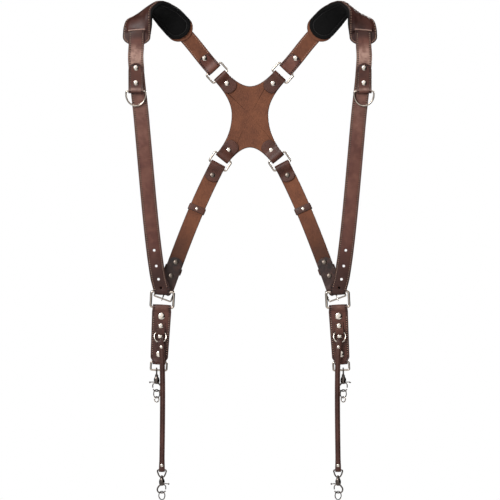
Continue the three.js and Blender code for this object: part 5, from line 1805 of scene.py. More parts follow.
@dataclass(frozen=True)
class BackStrap(Part):
    """Back strap from the lower ring to the buckle, with its keepers."""

    chape_fold: float = 68.5
    chape_round: float = 13.0
    rivet_from_fold: float = 28.5
    chape_rivets: Pair = (63.5, 33.0)
    keeper_thick: float = 1.8
    keeper_length: float = 13.0
    keeper_corner: float = 2.4
    # stations by which the loop's ends move to the middle of its lower side
    keeper_start: int = 9
    keeper_rivet: float = 7.0
    keepers: tuple[tuple[str, float, bool], ...] = (("upper", 180.0, True), ("lower", 43.0, False))

    def build(self, side: Side) -> None:
        """Strap, rivets and both keepers of one side.

        Args:
            side: the side to build.
        """
        lay, f = self.layout, self.finishes
        chape_gap = self.keeper_thick + 2 * lay.gap
        folded = lay.back.folded(-1, lay.chape_layer, lay.strap_thick + chape_gap, self.chape_fold)
        whole = folded.folded_start(-1, lay.lower.strap_radius, lay.strap_thick + lay.gap,
                                    lay.strap_fold)
        total = whole.length
        # Painted shade: darker over the chape and up the strap's lower part.
        worn = [(total - 10, 70, 1.0), (total - 150, 60, 0.7)]
        shell = Strap(lay.strap_thick).shell(whole, 12.0, self.chape_round, worn)
        add_piece("back_strap_leather", shell,
                  f.leather(f.dark, "back_strap", "leather_flesh"), side)
        face = lay.strap_thick * 1.5
        from_ring = self.rivet_from_fold - lay.lower.strap_radius - lay.strap_thick / 2
        heads = [Rivet().on(lay.back.spot(from_ring), face + lay.gap, -1),
                 CAP.on(lay.back.spot(from_ring), lay.strap_thick / 2, 1)]
        for d in self.chape_rivets:
            spot = lay.back.spot(lay.back.length - d + lay.chape_layer + lay.strap_thick / 2)
            heads.append(Rivet().on(spot, face + chape_gap, -1))
        add_piece("back_strap_rivets", merged(*heads), f.metal(f.dull), side)
        for name, distance, riveted in self.keepers:
            self.keeper(name, distance, riveted, side)

    def keeper(self, name: str, distance: float, riveted: bool, side: Side) -> None:
        """Leather loop round both straps, a flat strap bent along a rounded rectangle.

        Args:
            name: upper or lower.
            distance: distance up the strap from its foot.
            riveted: whether the loop has a rivet.
            side: the side to build.
        """
        lay, f = self.layout, self.finishes
        spot = lay.back.spot(lay.back.length - distance)
        low = -lay.strap_thick / 2 - lay.gap
        high = lay.strap_thick * 1.5 + 2 * lay.gap
        wide = lay.strap_width + 2 * lay.gap + self.keeper_thick
        tall = high - low + self.keeper_thick
        loop = rounded_rectangle(wide, tall, self.keeper_corner)
        loop = np.roll(loop + np.array([0, (low + high) / 2, 0]), -self.keeper_start, axis=0)
        start = (loop[0] + loop[-1]) / 2
        loop = np.concatenate([[start], loop, [start]])
        axes = np.array([spot.across, spot.outward, spot.travel])
        points = spot.point + loop @ axes
        chain = level(points, spot.travel, self.keeper_length / 2)
        travel = unit(points[12] - points[11])
        out = np.cross(travel, spot.travel)
        grain = int(np.sign(np.dot(out, points[12] - points.mean(axis=0))))
        shell = Strap(self.keeper_thick, grain=grain or 1, crown=0.1, step=1.0).shell(chain)
        add_piece(f"keeper_{name}_loop", shell, f.leather(f.dark, f"keeper_{name}"), side)
        if riveted:
            head = Rivet(self.keeper_rivet).on(spot, -low + self.keeper_thick, -1)
            add_piece(f"keeper_{name}_rivet", head, f.metal(f.nickel), side)


@dataclass(frozen=True)
class Yoke(Part):
    """Cross-shaped back plate with four tongues folded over their rings."""

    waist: float = 76.6
    top_notch: float = 59.3
    foot_notch: float = 69.0
    tongue_width: float = 31.0
    tongue_fold: float = 40.0
    rivet_from_fold: float = 24.0
    # distances from the fold line at which a tongue has stations
    tongue_stations: tuple[float, ...] = (42.0, 30.0, 15.0, 3.0, 0.0)
    # first station of the part that is built, and its size beside the plate's
    tongue_first: int = 3
    tongue_share: float = 0.998
    tongue_round: float = 0.8
    edge_inset: float = 1.5
    edge_depth: float = 1.1
    ray_shares: tuple[float, ...] = (0.01, 0.15, 0.3, 0.45, 0.6, 0.75, 0.88, 0.95)

    def outline(self) -> Array:
        """Right half's outline in x and z, as quadratic curves between notches and corners.

        A curve is n(1−t)² + 2c·t(1−t) + e·t², its handle c where the tongue's side meets the
        notch's tangent.

        Returns:
            Pairs of x and z from the top notch to the foot notch.
        """
        lay = self.layout
        drop = -lay.yoke_drop
        rows = [((0.0, self.top_notch + drop), lay.upper, 1, False),
                ((self.waist / 2, drop), lay.upper, -1, True),
                ((self.waist / 2, drop), lay.lower, 1, True),
                ((0.0, -self.foot_notch + drop), lay.lower, -1, False)]
        t = np.linspace(0, 1, 40)[:, None]
        parts = []
        for i, (notch, ring, sign, upright) in enumerate(rows):
            side = ring.tongue_end + np.cross(ring.travel, Y_AXIS) * sign * self.tongue_width / 2
            corner, travel = side[[0, 2]], ring.travel[[0, 2]]
            n = np.array(notch)
            axis = 0 if upright else 1
            handle = corner - travel * (corner[axis] - n[axis]) / travel[axis]
            curve = n * (1 - t) ** 2 + 2 * handle * t * (1 - t) + corner * t * t
            parts.append(curve[::-1] if i in (1, 3) else curve)
        return np.concatenate(parts)

    def plate(self) -> Shell:
        """Plate between both faces: rays from the middle to the outline, with a rounded edge.

        Returns:
            The plate's shell.
        """
        lay = self.layout
        half = self.outline()
        keep = np.concatenate([[True], np.linalg.norm(np.diff(half, axis=0), axis=1) > 0.02])
        half = half[keep]
        loop = np.concatenate([half, (half * np.array([-1.0, 1.0]))[1:-1][::-1]])
        gaps = np.linalg.norm(np.roll(loop, -1, 0) - loop, axis=1)
        known = np.concatenate([[0], np.cumsum(gaps)])
        ring = np.concatenate([loop, loop[:1]])
        at = np.unique(np.concatenate([np.linspace(0, known[-1], 420, endpoint=False),
                                       known[:-1][gaps > 6]]))
        loop = np.stack([np.interp(at, known, c) for c in ring.T], -1)
        along = unit(np.roll(loop, -1, 0) - np.roll(loop, 1, 0))
        normal = np.stack([along[:, 1], -along[:, 0]], -1)
        middle = np.array([0.0, -lay.yoke_drop])
        if np.sum(normal * (loop - middle)) < 0:
            normal = -normal
        r = lay.yoke_thick / 2
        theta = np.radians(np.linspace(-90, 90, 7))
        shares = np.array(self.ray_shares)
        rays = middle + (loop - normal * self.edge_inset - middle) * shares[:, None, None]
        edge = loop - normal * self.edge_depth * (1 - np.cos(theta))[:, None, None]
        flat = np.concatenate([rays, edge, rays[::-1]])
        face = np.full(len(shares), r)
        levels = np.concatenate([-face, r * np.sin(theta), face])
        y = lay.back_depth + np.broadcast_to(levels[:, None], flat.shape[:2])
        points = np.stack([flat[..., 0], y, flat[..., 1]], -1)
        gap = np.linalg.norm(flat - loop[None], axis=-1)
        uv = np.stack([flat[..., 0], flat[..., 1]], -1) * MM
        uv = np.concatenate([uv, uv[:, :1]], axis=1)
        shell = grid(points, uv, rim=gap)
        order = [Face.FLESH.value, Face.EDGE.value, Face.GRAIN.value]
        finish = np.repeat(order, np.array([8, 6, 8]) * len(loop))
        return replace(shell, finish=np.concatenate([finish, order[::2]]))

    def tongue(self, ring: RingSeat) -> tuple[Shell, Shell]:
        """A tongue's fold and its rivet on the right side.

        Args:
            ring: seat of the tongue's ring.

        Returns:
            The fold's shell and the rivet's.
        """
        lay = self.layout
        half = self.tongue_width / 2
        across = np.cross(Y_AXIS, ring.travel)
        ends = ring.tongue_end - ring.travel * np.array(self.tongue_stations)[:, None]
        chain = level(ends, across, half)
        folded = chain.folded(-1, ring.yoke_radius, lay.yoke_thick + lay.gap, self.tongue_fold)
        first = self.tongue_first
        cut = Chain(folded.points[first:], folded.across[first:],
                    folded.half[first:] * self.tongue_share)
        shell = Strap(lay.yoke_thick * 0.99).shell(cut, 0.0, half * self.tongue_round)
        back = self.rivet_from_fold - ring.yoke_radius - lay.yoke_thick / 2
        spot = chain.spot(chain.length - back)
        head = Rivet().on(spot, lay.yoke_thick * 1.5 + lay.gap, -1)
        cap = CAP.on(spot, lay.yoke_thick / 2, 1)
        return shell, merged(head, cap)

    def build(self) -> None:
        """Plate, tongues and rivets."""
        f = self.finishes
        add_piece("yoke_plate", self.plate(), f.leather(f.grain, "yoke", "leather_flesh"))
        pieces = [self.tongue(ring) for ring in (self.layout.upper, self.layout.lower)]
        folds, heads = (merged(*[p[i] for p in pieces], *[p[i].mirrored() for p in pieces])
                        for i in (0, 1))
        add_piece("yoke_tongues", folds, f.leather(f.dark, "yoke"))
        add_piece("yoke_rivets", heads, f.metal(f.nickel))


@dataclass(frozen=True)
class Rings(Part):
    """Rounded rectangular rings between yoke and straps, and the hip frame with its buckle."""

    ring_width: float = 45.0
    ring_corner: float = 3.5
    frame_width: float = 52.0
    frame_corner: float = 4.0
    buckle_width: float = 40.0
    buckle_spacing: float = 24.0
    buckle_corner: float = 2.0
    buckle_lean: float = 22.0
    prong_wire: float = 2.6
    prong_past: float = 5.5

    def build(self, side: Side) -> None:
        """Rings of one side.

        Args:
            side: the side to build.
        """
        lay, f = self.layout, self.finishes
        bar = bar_loop(self.ring_width, lay.ring_spacing, self.ring_corner, lay.ring_wire)
        for name, ring in (("upper", lay.upper), ("lower", lay.lower)):
            where = place(ring.middle, np.cross(Y_AXIS, ring.axis), ring.axis)
            add_piece(f"{name}_ring_wire", bar.placed(where), f.metal(f.wire, f"{name}_ring"), side)
        shell = bar_loop(self.frame_width, lay.frame_spacing, self.frame_corner, lay.frame_wire,
                         20).placed(lay.hip_upright(0, 0, 0))
        add_piece("hip_frame_wire", shell, f.metal(f.wire, "hip_frame"), side)
        self.buckle(side)

    def buckle(self, side: Side) -> None:
        """Buckle's loop with its bar at the origin, and the prong that is bent over the loop.

        Args:
            side: the side to build.
        """
        lay, f = self.layout, self.finishes
        lean = math.radians(self.buckle_lean)
        down = lay.strap_down * math.cos(lean) - Y_AXIS * math.sin(lean)
        where = place(lay.buckle_bar, lay.bar_across, down)
        loop = bar_loop(self.buckle_width, self.buckle_spacing, self.buckle_corner,
                        lay.buckle_wire).moved([0, self.buckle_spacing / 2, 0])
        front = (lay.buckle_wire + self.prong_wire) / 2 - 0.2
        knots = np.array([[0.0, 0, 0], [lay.buckle_wire, 0, 0],
                          [self.buckle_spacing - lay.buckle_wire, front, 0],
                          [self.buckle_spacing, front, 0],
                          [self.buckle_spacing + self.prong_past, front, 0]])
        line = open_curve(knots, 30)
        size = self.prong_wire / 2 * (1 - 0.35 * smooth(np.linspace(-1.5, 1, 30)))
        prong = wire(line, size, closed=False)
        bent = replace(prong, points=prong.points[:, [2, 0, 1]])
        shell = merged(loop, bent).placed(where)
        add_piece("hip_buckle_frame", shell, f.metal(f.wire, "hip_buckle"), side)


@dataclass(frozen=True)
class ChestTab(Part):
    """Leather tab on the front strap with two rivets, and its D-ring."""

    width: float = 31.5
    thick: float = 2.2
    length: float = 58.2
    hidden: float = 43.5
    shift: float = 5.5
    bar_drop: float = 173.0
    wire: float = 4.0
    ring_width: float = 45.0
    ring_height: float = 34.0
    ring_slack: float = 0.15
    rivets: Pair = (48.2, 17.2)

    def line(self) -> tuple[Chain, Place]:
        """Tab's line down to the bar, and the D-ring's place.

        Returns:
            The tab's line and the D-ring's place.
        """
        lay = self.layout
        chain = lay.shoulder
        start = len(lay.tail.points)
        z = chain.points[start:, 2]
        i = start + int(np.argmax(z > -self.bar_drop))
        share = (-self.bar_drop - chain.points[i - 1, 2]) \
            / (chain.points[i, 2] - chain.points[i - 1, 2])
        spot = chain.spot(lerp(chain.reach[i - 1], chain.reach[i], share))
        down = unit(-Z_AXIS + spot.outward * spot.outward[2])
        across = np.cross(spot.outward, down)
        end = spot.point + X_AXIS * self.shift \
            + spot.outward * lay.over(lay.strap_thick, self.thick)
        steps = np.array([self.length + 1, 40.0, 20.0, 0.0])
        points = end - down * steps[:, None]
        line = level(points, across, self.width / 2)
        bar = end + spot.outward * lay.over(self.wire, self.thick)
        return line, place(bar, np.cross(-down, spot.outward), -down)

    def build(self, side: Side) -> None:
        """Tab, rivets, thread and D-ring of one side.

        Args:
            side: the side to build.
        """
        lay, f = self.layout, self.finishes
        line, where = self.line()
        layer = self.thick + lay.gap
        radius = lay.over(self.wire, self.thick)
        folded = line.folded(1, radius, layer, self.length)
        cut = folded.stretch(line.length - self.hidden, folded.length, 1.2)
        # The mark paints a highlight along the fold round the D-ring's bar.
        shell = Strap(self.thick, grain=-1, crown=0.0, seam=3.6, step=1.6).shell(
            cut, 0.0, self.width / 2, [(cut.length - self.length + 3, 4, 0.5)])
        add_piece("d_ring_tab_leather", shell, f.leather(f.tab, "d_ring_tab"), side)
        face = layer + self.thick / 2
        heads = [Rivet().on(line.spot(line.length - d), face, 1) for d in self.rivets]
        add_piece("d_ring_tab_rivets", merged(*heads), f.metal(f.nickel), side)
        half, tall = (self.ring_width - self.wire) / 2, self.ring_height - self.wire
        a = np.linspace(0, np.pi, 25)[:, None]
        bow = np.hstack([half * np.cos(a), -tall * (0.2 + 0.8 * np.sin(a)), a * 0])
        corner = np.array([[0.6 - half, -1.2, 0], [2.2 - half, 0, 0], [3.4 - half, 0, 0],
                           [8 - half, 0, 0]])
        bar = np.concatenate([corner, [Z_AXIS * 0], corner[::-1] * np.array([-1, 1, 1])])
        path = closed_curve(np.concatenate([bow, bar]), 96)
        shell = wire(path, self.wire / 2 - self.ring_slack, 18).placed(where)
        add_piece("d_ring_wire", shell, f.metal(f.wire, "d_ring", body="d_ring"), side)
        stitch = Stitch(inset=3.6, radius=0.5)
        span = [(cut.length - self.length + 4, cut.length - self.width / 2)]
        thread = stitch.seams(cut, span, -self.thick / 2)
        add_piece("d_ring_tab_thread", thread, f.sewing(), side)


@dataclass(frozen=True)
class HipTab(Part):
    """Stitched hip tab with its rivets, foot ring, ring keeper and round ring."""

    thick: float = 3.0
    width: float = 40.4
    foot_width: float = 36.0
    top_fold_width: float = 38.0
    foot_fold_width: float = 27.4
    chamfer: float = 10.0
    length: float = 113.8
    ring_width: float = 37.0
    ring_spacing: float = 17.0
    ring_wire: float = 4.0
    ring_corner: float = 2.5
    large_rivet: float = 15.0
    large_drops: tuple[tuple[str, float], ...] = (("upper", 34.6), ("lower", 113.0))
    keeper_width: float = 18.0
    keeper_thick: float = 2.0
    keeper_fall: float = 4.5
    keeper_drops: tuple[float, ...] = (47.0, 54.9, 65.0, 76.8, 84.2)
    o_ring: float = 27.8
    o_wire: float = 3.1
    o_lean: float = 15.0
    # share of the line and distance from it at each thread's start and end
    threads: tuple[Four, ...] = (
        (0.25, 22, 0.75, -16), (0.0, 4, 0.25, -14), (0.75, 10, 1.0, -4))

    @property
    def top(self) -> float:
        """Height of the hip frame's lower bar."""
        return -self.layout.frame_spacing / 2

    @property
    def foot(self) -> float:
        """Height of the foot ring's upper bar."""
        return self.top - self.length

    @property
    def layer(self) -> float:
        """Distance of each layer's middle from the tab's middle."""
        return (self.thick + self.layout.gap) / 2

    @property
    def face(self) -> float:
        """Distance of the tab's face from its middle."""
        return self.layer + self.thick / 2

    @property
    def o_radius(self) -> float:
        """Radius of the round ring's middle line."""
        return (self.o_ring - self.o_wire) / 2

    def half_at(self, z: Array) -> Array:
        """Half width at a height, eased into the folds over the chamfers.

        Args:
            z: heights over the hip frame's middle.

        Returns:
            Half widths.
        """
        plain = lerp(self.width, self.foot_width, np.clip((self.top - z) / self.length, 0, 1))
        top = lerp(self.top_fold_width, plain, smooth((self.top - z) / self.chamfer))
        return lerp(self.foot_fold_width, top, smooth((z - self.foot) / self.chamfer)) / 2

    def chain(self) -> Chain:
        """Line of the tab: up the back, over the frame, down the front and round the foot ring.

        Returns:
            The tab's line.
        """
        lay = self.layout
        top_r = lay.over(lay.frame_wire, self.thick)
        foot_r = lay.over(self.ring_wire, self.thick)
        angle = np.linspace(0, np.pi, 14)
        share = np.linspace(0.12, 1, 8)

        def leg(bar: float, radius: float, up: int, sign: int) -> Array:
            """Run from a fold to the flat, as depth and height."""
            return np.stack([sign * lerp(radius, self.layer, smooth(share)),
                             bar + up * radius * 2 * share], -1)

        def bend(bar: float, radius: float, up: int, start: int) -> Array:
            """Half turn round a bar, as depth and height."""
            return np.stack([start * radius * np.cos(angle), bar + up * radius * np.sin(angle)], -1)

        seam = (self.top + self.foot) / 2
        low, high = self.foot + foot_r * 2, self.top - top_r * 2
        down = np.linspace(high, low, 16)[1:-1]
        back_top = np.linspace(seam + lay.gap, high, 8)[:-1]
        back_foot = np.linspace(low, seam - lay.gap, 8)[1:]
        flat = np.concatenate([
            np.stack([np.full(7, self.layer), back_top], -1),
            leg(self.top, top_r, -1, 1)[::-1], bend(self.top, top_r, 1, 1),
            leg(self.top, top_r, -1, -1), np.stack([np.full(14, -self.layer), down], -1),
            leg(self.foot, foot_r, 1, -1)[::-1], bend(self.foot, foot_r, -1, -1),
            leg(self.foot, foot_r, 1, 1), np.stack([np.full(7, self.layer), back_foot], -1)])
        points = lay.hip.put(np.stack([flat[:, 0] * 0, flat[:, 0], flat[:, 1]], -1))
        return level(points, lay.hip.turn(1, 0, 0), self.half_at(flat[:, 1]))

    def keeper_chain(self) -> Chain:
        """Line of the small strap, humped over the round ring's wire.

        Returns:
            The small strap's line.
        """
        lay = self.layout
        start, _, ring, _, end = self.keeper_drops
        flat = self.face + lay.gap + self.keeper_thick / 2
        sag = self.o_radius - math.sqrt(self.o_radius ** 2 - (self.keeper_width / 2) ** 2)
        ring_layer = self.face + lay.gap + self.o_wire / 2
        hump = ring_layer + lay.over(self.o_wire, self.keeper_thick) \
            + sag * math.sin(math.radians(self.o_lean))
        crest = ring + sag / 2
        flat_half = (sag + self.o_wire) / 2 + lay.gap
        drop = np.linspace(start, end, 60)
        away = (np.abs(drop - crest) - flat_half) / self.keeper_fall
        depth = -lerp(hump, flat, smooth(away))
        points = lay.hip.put(np.stack([drop * 0, depth, -drop], -1))
        return level(points, lay.hip.turn(1, 0, 0), self.keeper_width / 2)

    def ring_place(self) -> Place:
        """Round ring's place, leaning out from the tab.

        Returns:
            The place, its X outwards and its Y up the ring.
        """
        lay = self.layout
        lean = math.radians(self.o_lean)
        up = lay.hip.turn(0, math.sin(lean), math.cos(lean))
        layer = self.face + lay.gap + self.o_wire / 2
        middle = lay.hip.put([0, -layer, -self.keeper_drops[2]]) - up * self.o_radius
        return place(middle, lay.hip.turn(1, 0, 0), up)

    def build(self, side: Side) -> None:
        """Tab, keeper, rings, rivets and thread of one side.

        Args:
            side: the side to build.
        """
        lay, f = self.layout, self.finishes
        chain = self.chain()
        shell = Strap(self.thick, seam=3.6, step=1.8).shell(chain, worn=[
            (chain.length * 0.28, 6, 0.25)])
        add_piece("hip_tab_leather", shell, f.leather(f.tab, "hip_tab"), side)
        spans = [(chain.length * a + b, chain.length * c + d) for a, b, c, d in self.threads]
        thread = Stitch(inset=3.6).seams(chain, spans, self.thick / 2 + 0.05)
        add_piece("hip_tab_thread", thread, f.sewing(), side)
        for name, drop in self.large_drops:
            where = lay.hip_upright(0, -self.face - lay.gap, -drop)
            add_piece(f"hip_rivet_{name}_dome", Rivet(self.large_rivet).shell(where),
                      f.metal(f.nickel, f"hip_rivet_{name}"), side)
        shell = bar_loop(self.ring_width, self.ring_spacing, self.ring_corner, self.ring_wire)
        shell = shell.placed(lay.hip_upright(0, 0, self.foot - self.ring_spacing / 2))
        add_piece("hip_ring_wire", shell, f.metal(f.wire, "hip_ring"), side)
        keeper = self.keeper_chain()
        shell = Strap(self.keeper_thick, crown=0.1, step=1.0).shell(keeper, 0.0,
                                                                     self.keeper_width / 2)
        add_piece("ring_keeper_leather", shell, f.leather(f.dark, "ring_keeper"), side)
        depth = self.face + lay.gap + self.keeper_thick
        heads = [Rivet().shell(lay.hip_upright(0, -depth, -d)) for d in self.keeper_drops[1:4:2]]
        add_piece("ring_keeper_rivets", merged(*heads), f.metal(f.nickel), side)
        shell = wire(arc(0, 0, self.o_radius, 0, 360, 64)[1:], self.o_wire / 2).placed(
            self.ring_place())
        add_piece("o_ring_wire", shell, f.metal(f.nickel, "o_ring"), side)


@dataclass(frozen=True)
class Snap:
    """Swivel trigger snap with its split ring; local X is its facing and Y is up."""

    finishes: Finishes
    name: str
    eye_width: float = 18.0
    eye_height: float = 14.2
    eye_wire: float = 3.0
    post: float = 3.0
    barrel_width: float = 11.5
    barrel_depth: float = 7.0
    barrel_height: float = 17.0
    hook_width: float = 17.5
    hook_height: float = 14.5
    wire: float = 3.0
    lever_wire: float = 2.2
    lever_reach: float = 11.3
    thumb_rise: float = 0.5
    thumb_taper: float = 0.72
    gate_drop: float = 4.5
    gate_rise: float = 3.0
    hook_taper: Pair = (1.12, 0.86)
    split_ring: float = 19.4
    split_wire: float = 2.0
    split_turn: float = 43.0
    split_rise: float = 0.5
    split_half: float = 0.9
    split_flat: float = 0.52
    gap: float = 0.3
    hub_radius: float = 2.1
    hub_half: float = 1.4
    pin: float = 2.1
    slot_height: float = 9.0
    slot_inset: float = 2.8
    slot_drop: float = 1.6
    pivot_rise: float = 3.8
    eye_shoulder: float = 1.4
    # radius and height of the bored foot of the eye
    cup: tuple[Pair, ...] = (
        (1.9, -1.4), (3.2, -1.4), (3.6, -1.0), (3.6, 0.7), (3.1, 1.2), (1.9, 1.2))
    # share of the barrel's radius and height
    barrel: tuple[Pair, ...] = (
        (0.3, 0.0), (0.72, 0.03), (0.9, 0.14), (1.0, 0.3), (1.0, 0.6), (0.9, 0.72),
        (0.68, 0.88), (0.58, 0.93), (0.62, 0.96), (0.55, 1.0), (0.3, 1.0))
    # radius and height of the thumb piece's ball
    ball: tuple[Pair, ...] = (
        (0.1, -1.9), (1.3, -1.4), (1.9, 0), (1.3, 1.4), (0.1, 1.9))
    # share of the hook's half width and height
    hook_rows: tuple[Pair, ...] = (
        (-0.38, 1.0), (-0.8, 0.76), (-1.08, 0.42), (-0.88, 0.12), (-0.3, 0.0), (0.4, 0.02),
        (0.86, 0.24))

    @property
    def foot(self) -> float:
        """Height of the barrel's foot."""
        return -self.eye_height - self.eye_shoulder - self.gap - self.barrel_height

    @property
    def pivot(self) -> Array:
        """Lever's pivot."""
        return np.array([self.barrel_width * 0.23, self.foot + self.pivot_rise, 0])

    def hook(self) -> Array:
        """Hook's line.

        Returns:
            Points from the barrel round to the tip.
        """
        rows = np.array(self.hook_rows)
        drop = self.foot - self.hook_height
        return np.stack([self.hook_width / 2 * rows[:, 0],
                         drop + (self.hook_height + 2) * rows[:, 1], rows[:, 0] * 0], -1)

    @staticmethod
    def upright(shell: Shell) -> Shell:
        """Turned solid with its axis along local Y."""
        return replace(shell, points=shell.points[:, [0, 2, 1]] * np.array([1.0, 1.0, -1.0]))

    def eye(self) -> Shell:
        """Loop through which the strap passes, with a bored foot.

        Returns:
            The eye's shell, its bar at the origin.
        """
        half, low = self.eye_width / 2, -self.eye_height
        side = np.array([[half - 2.4, 0, 0], [half - 0.7, -0.5, 0], [half, -2.0, 0],
                         [half * 0.92, low * 0.4, 0], [half * 0.6, low + 2, 0],
                         [half * 0.42, low, 0]])
        other = side[::-1] * np.array([-1.0, 1, 1])
        bar = np.array([[-half * 0.4, 0, 0], [0, 0, 0], [half * 0.4, 0, 0]])
        path = closed_curve(np.concatenate([side, other, bar]), 72)
        loop = wire(path, self.eye_wire / 2, 14)
        cup = self.upright(turned(self.cup, 24))
        return merged(loop, cup.moved([0, low, 0]))

    def body(self) -> tuple[Shell, Shell]:
        """Barrel and post; the barrel is turned and then flattened.

        Returns:
            Shells of the barrel and the post.
        """
        radius, foot = self.barrel_width / 2, self.foot
        barrel = self.upright(turned([(radius * r, foot + self.barrel_height * h)
                                      for r, h in self.barrel], 32, 40))
        flat = np.array([1.0, 1.0, self.barrel_depth / self.barrel_width])
        barrel = replace(barrel, points=barrel.points * flat)
        head = -self.eye_height + 1.2 + self.gap
        p = self.post / 2
        post = self.upright(turned([(0.3, foot + self.barrel_height - 1), (p, foot
                                    + self.barrel_height - 1), (p, head), (p + 0.7, head),
                                    (p + 0.7, head + 0.9), (p, head + 1.4), (0.3, head + 1.5)]))
        return barrel, post

    def hook_bar(self) -> Shell:
        """Hook that thins towards its tip.

        Returns:
            The hook's shell.
        """
        line = open_curve(self.hook(), 44)
        size = self.wire / 2 * lerp(*self.hook_taper, np.linspace(0, 1, 44))
        return wire(line, size, 16, closed=False)

    def lever(self) -> Shell:
        """Hub, gate and thumb piece with its ball.

        Returns:
            The lever's shell.
        """
        tip = self.hook()[-1]
        x, y, _ = self.pivot
        gate = open_curve(np.array([[x, y, 0], [tip[0] * 1.02, y - self.gate_drop, 0],
                                    [tip[0] * 1.06, tip[1] + self.gate_rise, 0]]), 20)
        t = np.linspace(0, 1, 14)
        thumb = np.stack([x + self.lever_reach * t, y + self.thumb_rise * np.sin(3 * t), t * 0], -1)
        ball = turned(self.ball, 20, 16)
        ball = ball.moved([x + self.lever_reach, y, 0])
        r, h = self.hub_radius, self.hub_half
        hub = turned([(0.3, -h), (r - 0.2, -h), (r, 0.2 - h), (r, h - 0.2), (r - 0.2, h), (0.3, h)])
        hub = hub.moved(self.pivot)
        return merged(wire(gate, self.lever_wire / 2, 14, closed=False),
                      wire(thumb, self.lever_wire / 2 * lerp(1.0, self.thumb_taper, t), 14,
                           closed=False), ball, hub)

    def coil(self) -> Shell:
        """Split ring: two flat turns side by side, their step across in a short run.

        Returns:
            The ring's shell.
        """
        radius = (self.split_ring - self.split_wire) / 2
        turn = np.linspace(0, 4 * np.pi, 130)
        side = self.split_rise * (2 * smooth((turn - 1.8 * np.pi) / (0.4 * np.pi)) - 1)
        path = np.stack([radius * np.cos(turn), radius * np.sin(turn), turn * 0], -1)
        shell = wire(path, self.split_half, 12, closed=False, flat=self.split_flat)
        return shell.moved(np.repeat(side, 12)[:, None] * Z_AXIS)

    def build(self, bar: Array, eye_facing: Array, facing: Array, side: Side) -> Array:
        """Snap of one side.

        Args:
            bar: middle of the eye's bar.
            eye_facing: direction of the eye's bar.
            facing: direction of the lever.
            side: the side.

        Returns:
            Lowest point of the split ring's middle line.
        """
        f, body = self.finishes, f"{self.name}_snap"
        eye, rest = place(bar, eye_facing, Z_AXIS), place(bar, facing, Z_AXIS)
        add_piece(f"{body}_eye_loop", self.eye().placed(eye), f.metal(
            f.snap, f"{body}_eye"), side)
        x, y, _ = self.pivot
        box = rounded_rectangle(self.barrel_width, self.slot_height, 0.3)
        box = box + np.array([x - self.slot_inset + self.barrel_width / 2, y - self.slot_drop, 0])
        depth = self.hub_half + self.gap
        rows = np.stack([box - Z_AXIS * depth, box + Z_AXIS * depth])
        slot = grid(rows, np.zeros((2, len(box) + 1, 2)))
        barrel, post = self.body()
        add_piece(f"{body}_barrel", barrel.placed(rest), f.metal(
            f.snap, f"{body}_body", body=body), side, [slot.placed(rest)])
        half = self.pin
        pin = turned([(0.2, -half), (half / 2, -half), (half / 2, half), (0.2, half)])
        pin = pin.moved(self.pivot)
        add_piece(f"{body}_hook", merged(self.hook_bar(), post, pin).placed(rest), f.metal(
            f.snap, body=body), side)
        add_piece(f"{body}_trigger", self.lever().placed(rest), f.metal(
            f.snap, f"{body}_lever", body=f"{self.name}_lever"), side)
        seat = (self.wire + self.split_wire) / 2 + 2 * self.gap
        top = bar + Z_AXIS * (self.foot - self.hook_height + seat)
        radius = (self.split_ring - self.split_wire) / 2
        where = hanging(top, radius, self.split_turn)
        add_piece(f"{self.name}_split_coil", self.coil().placed(where), f.metal(
            f.snap, f"{self.name}_split_ring", body=body), side)
        return top - Z_AXIS * 2 * radius


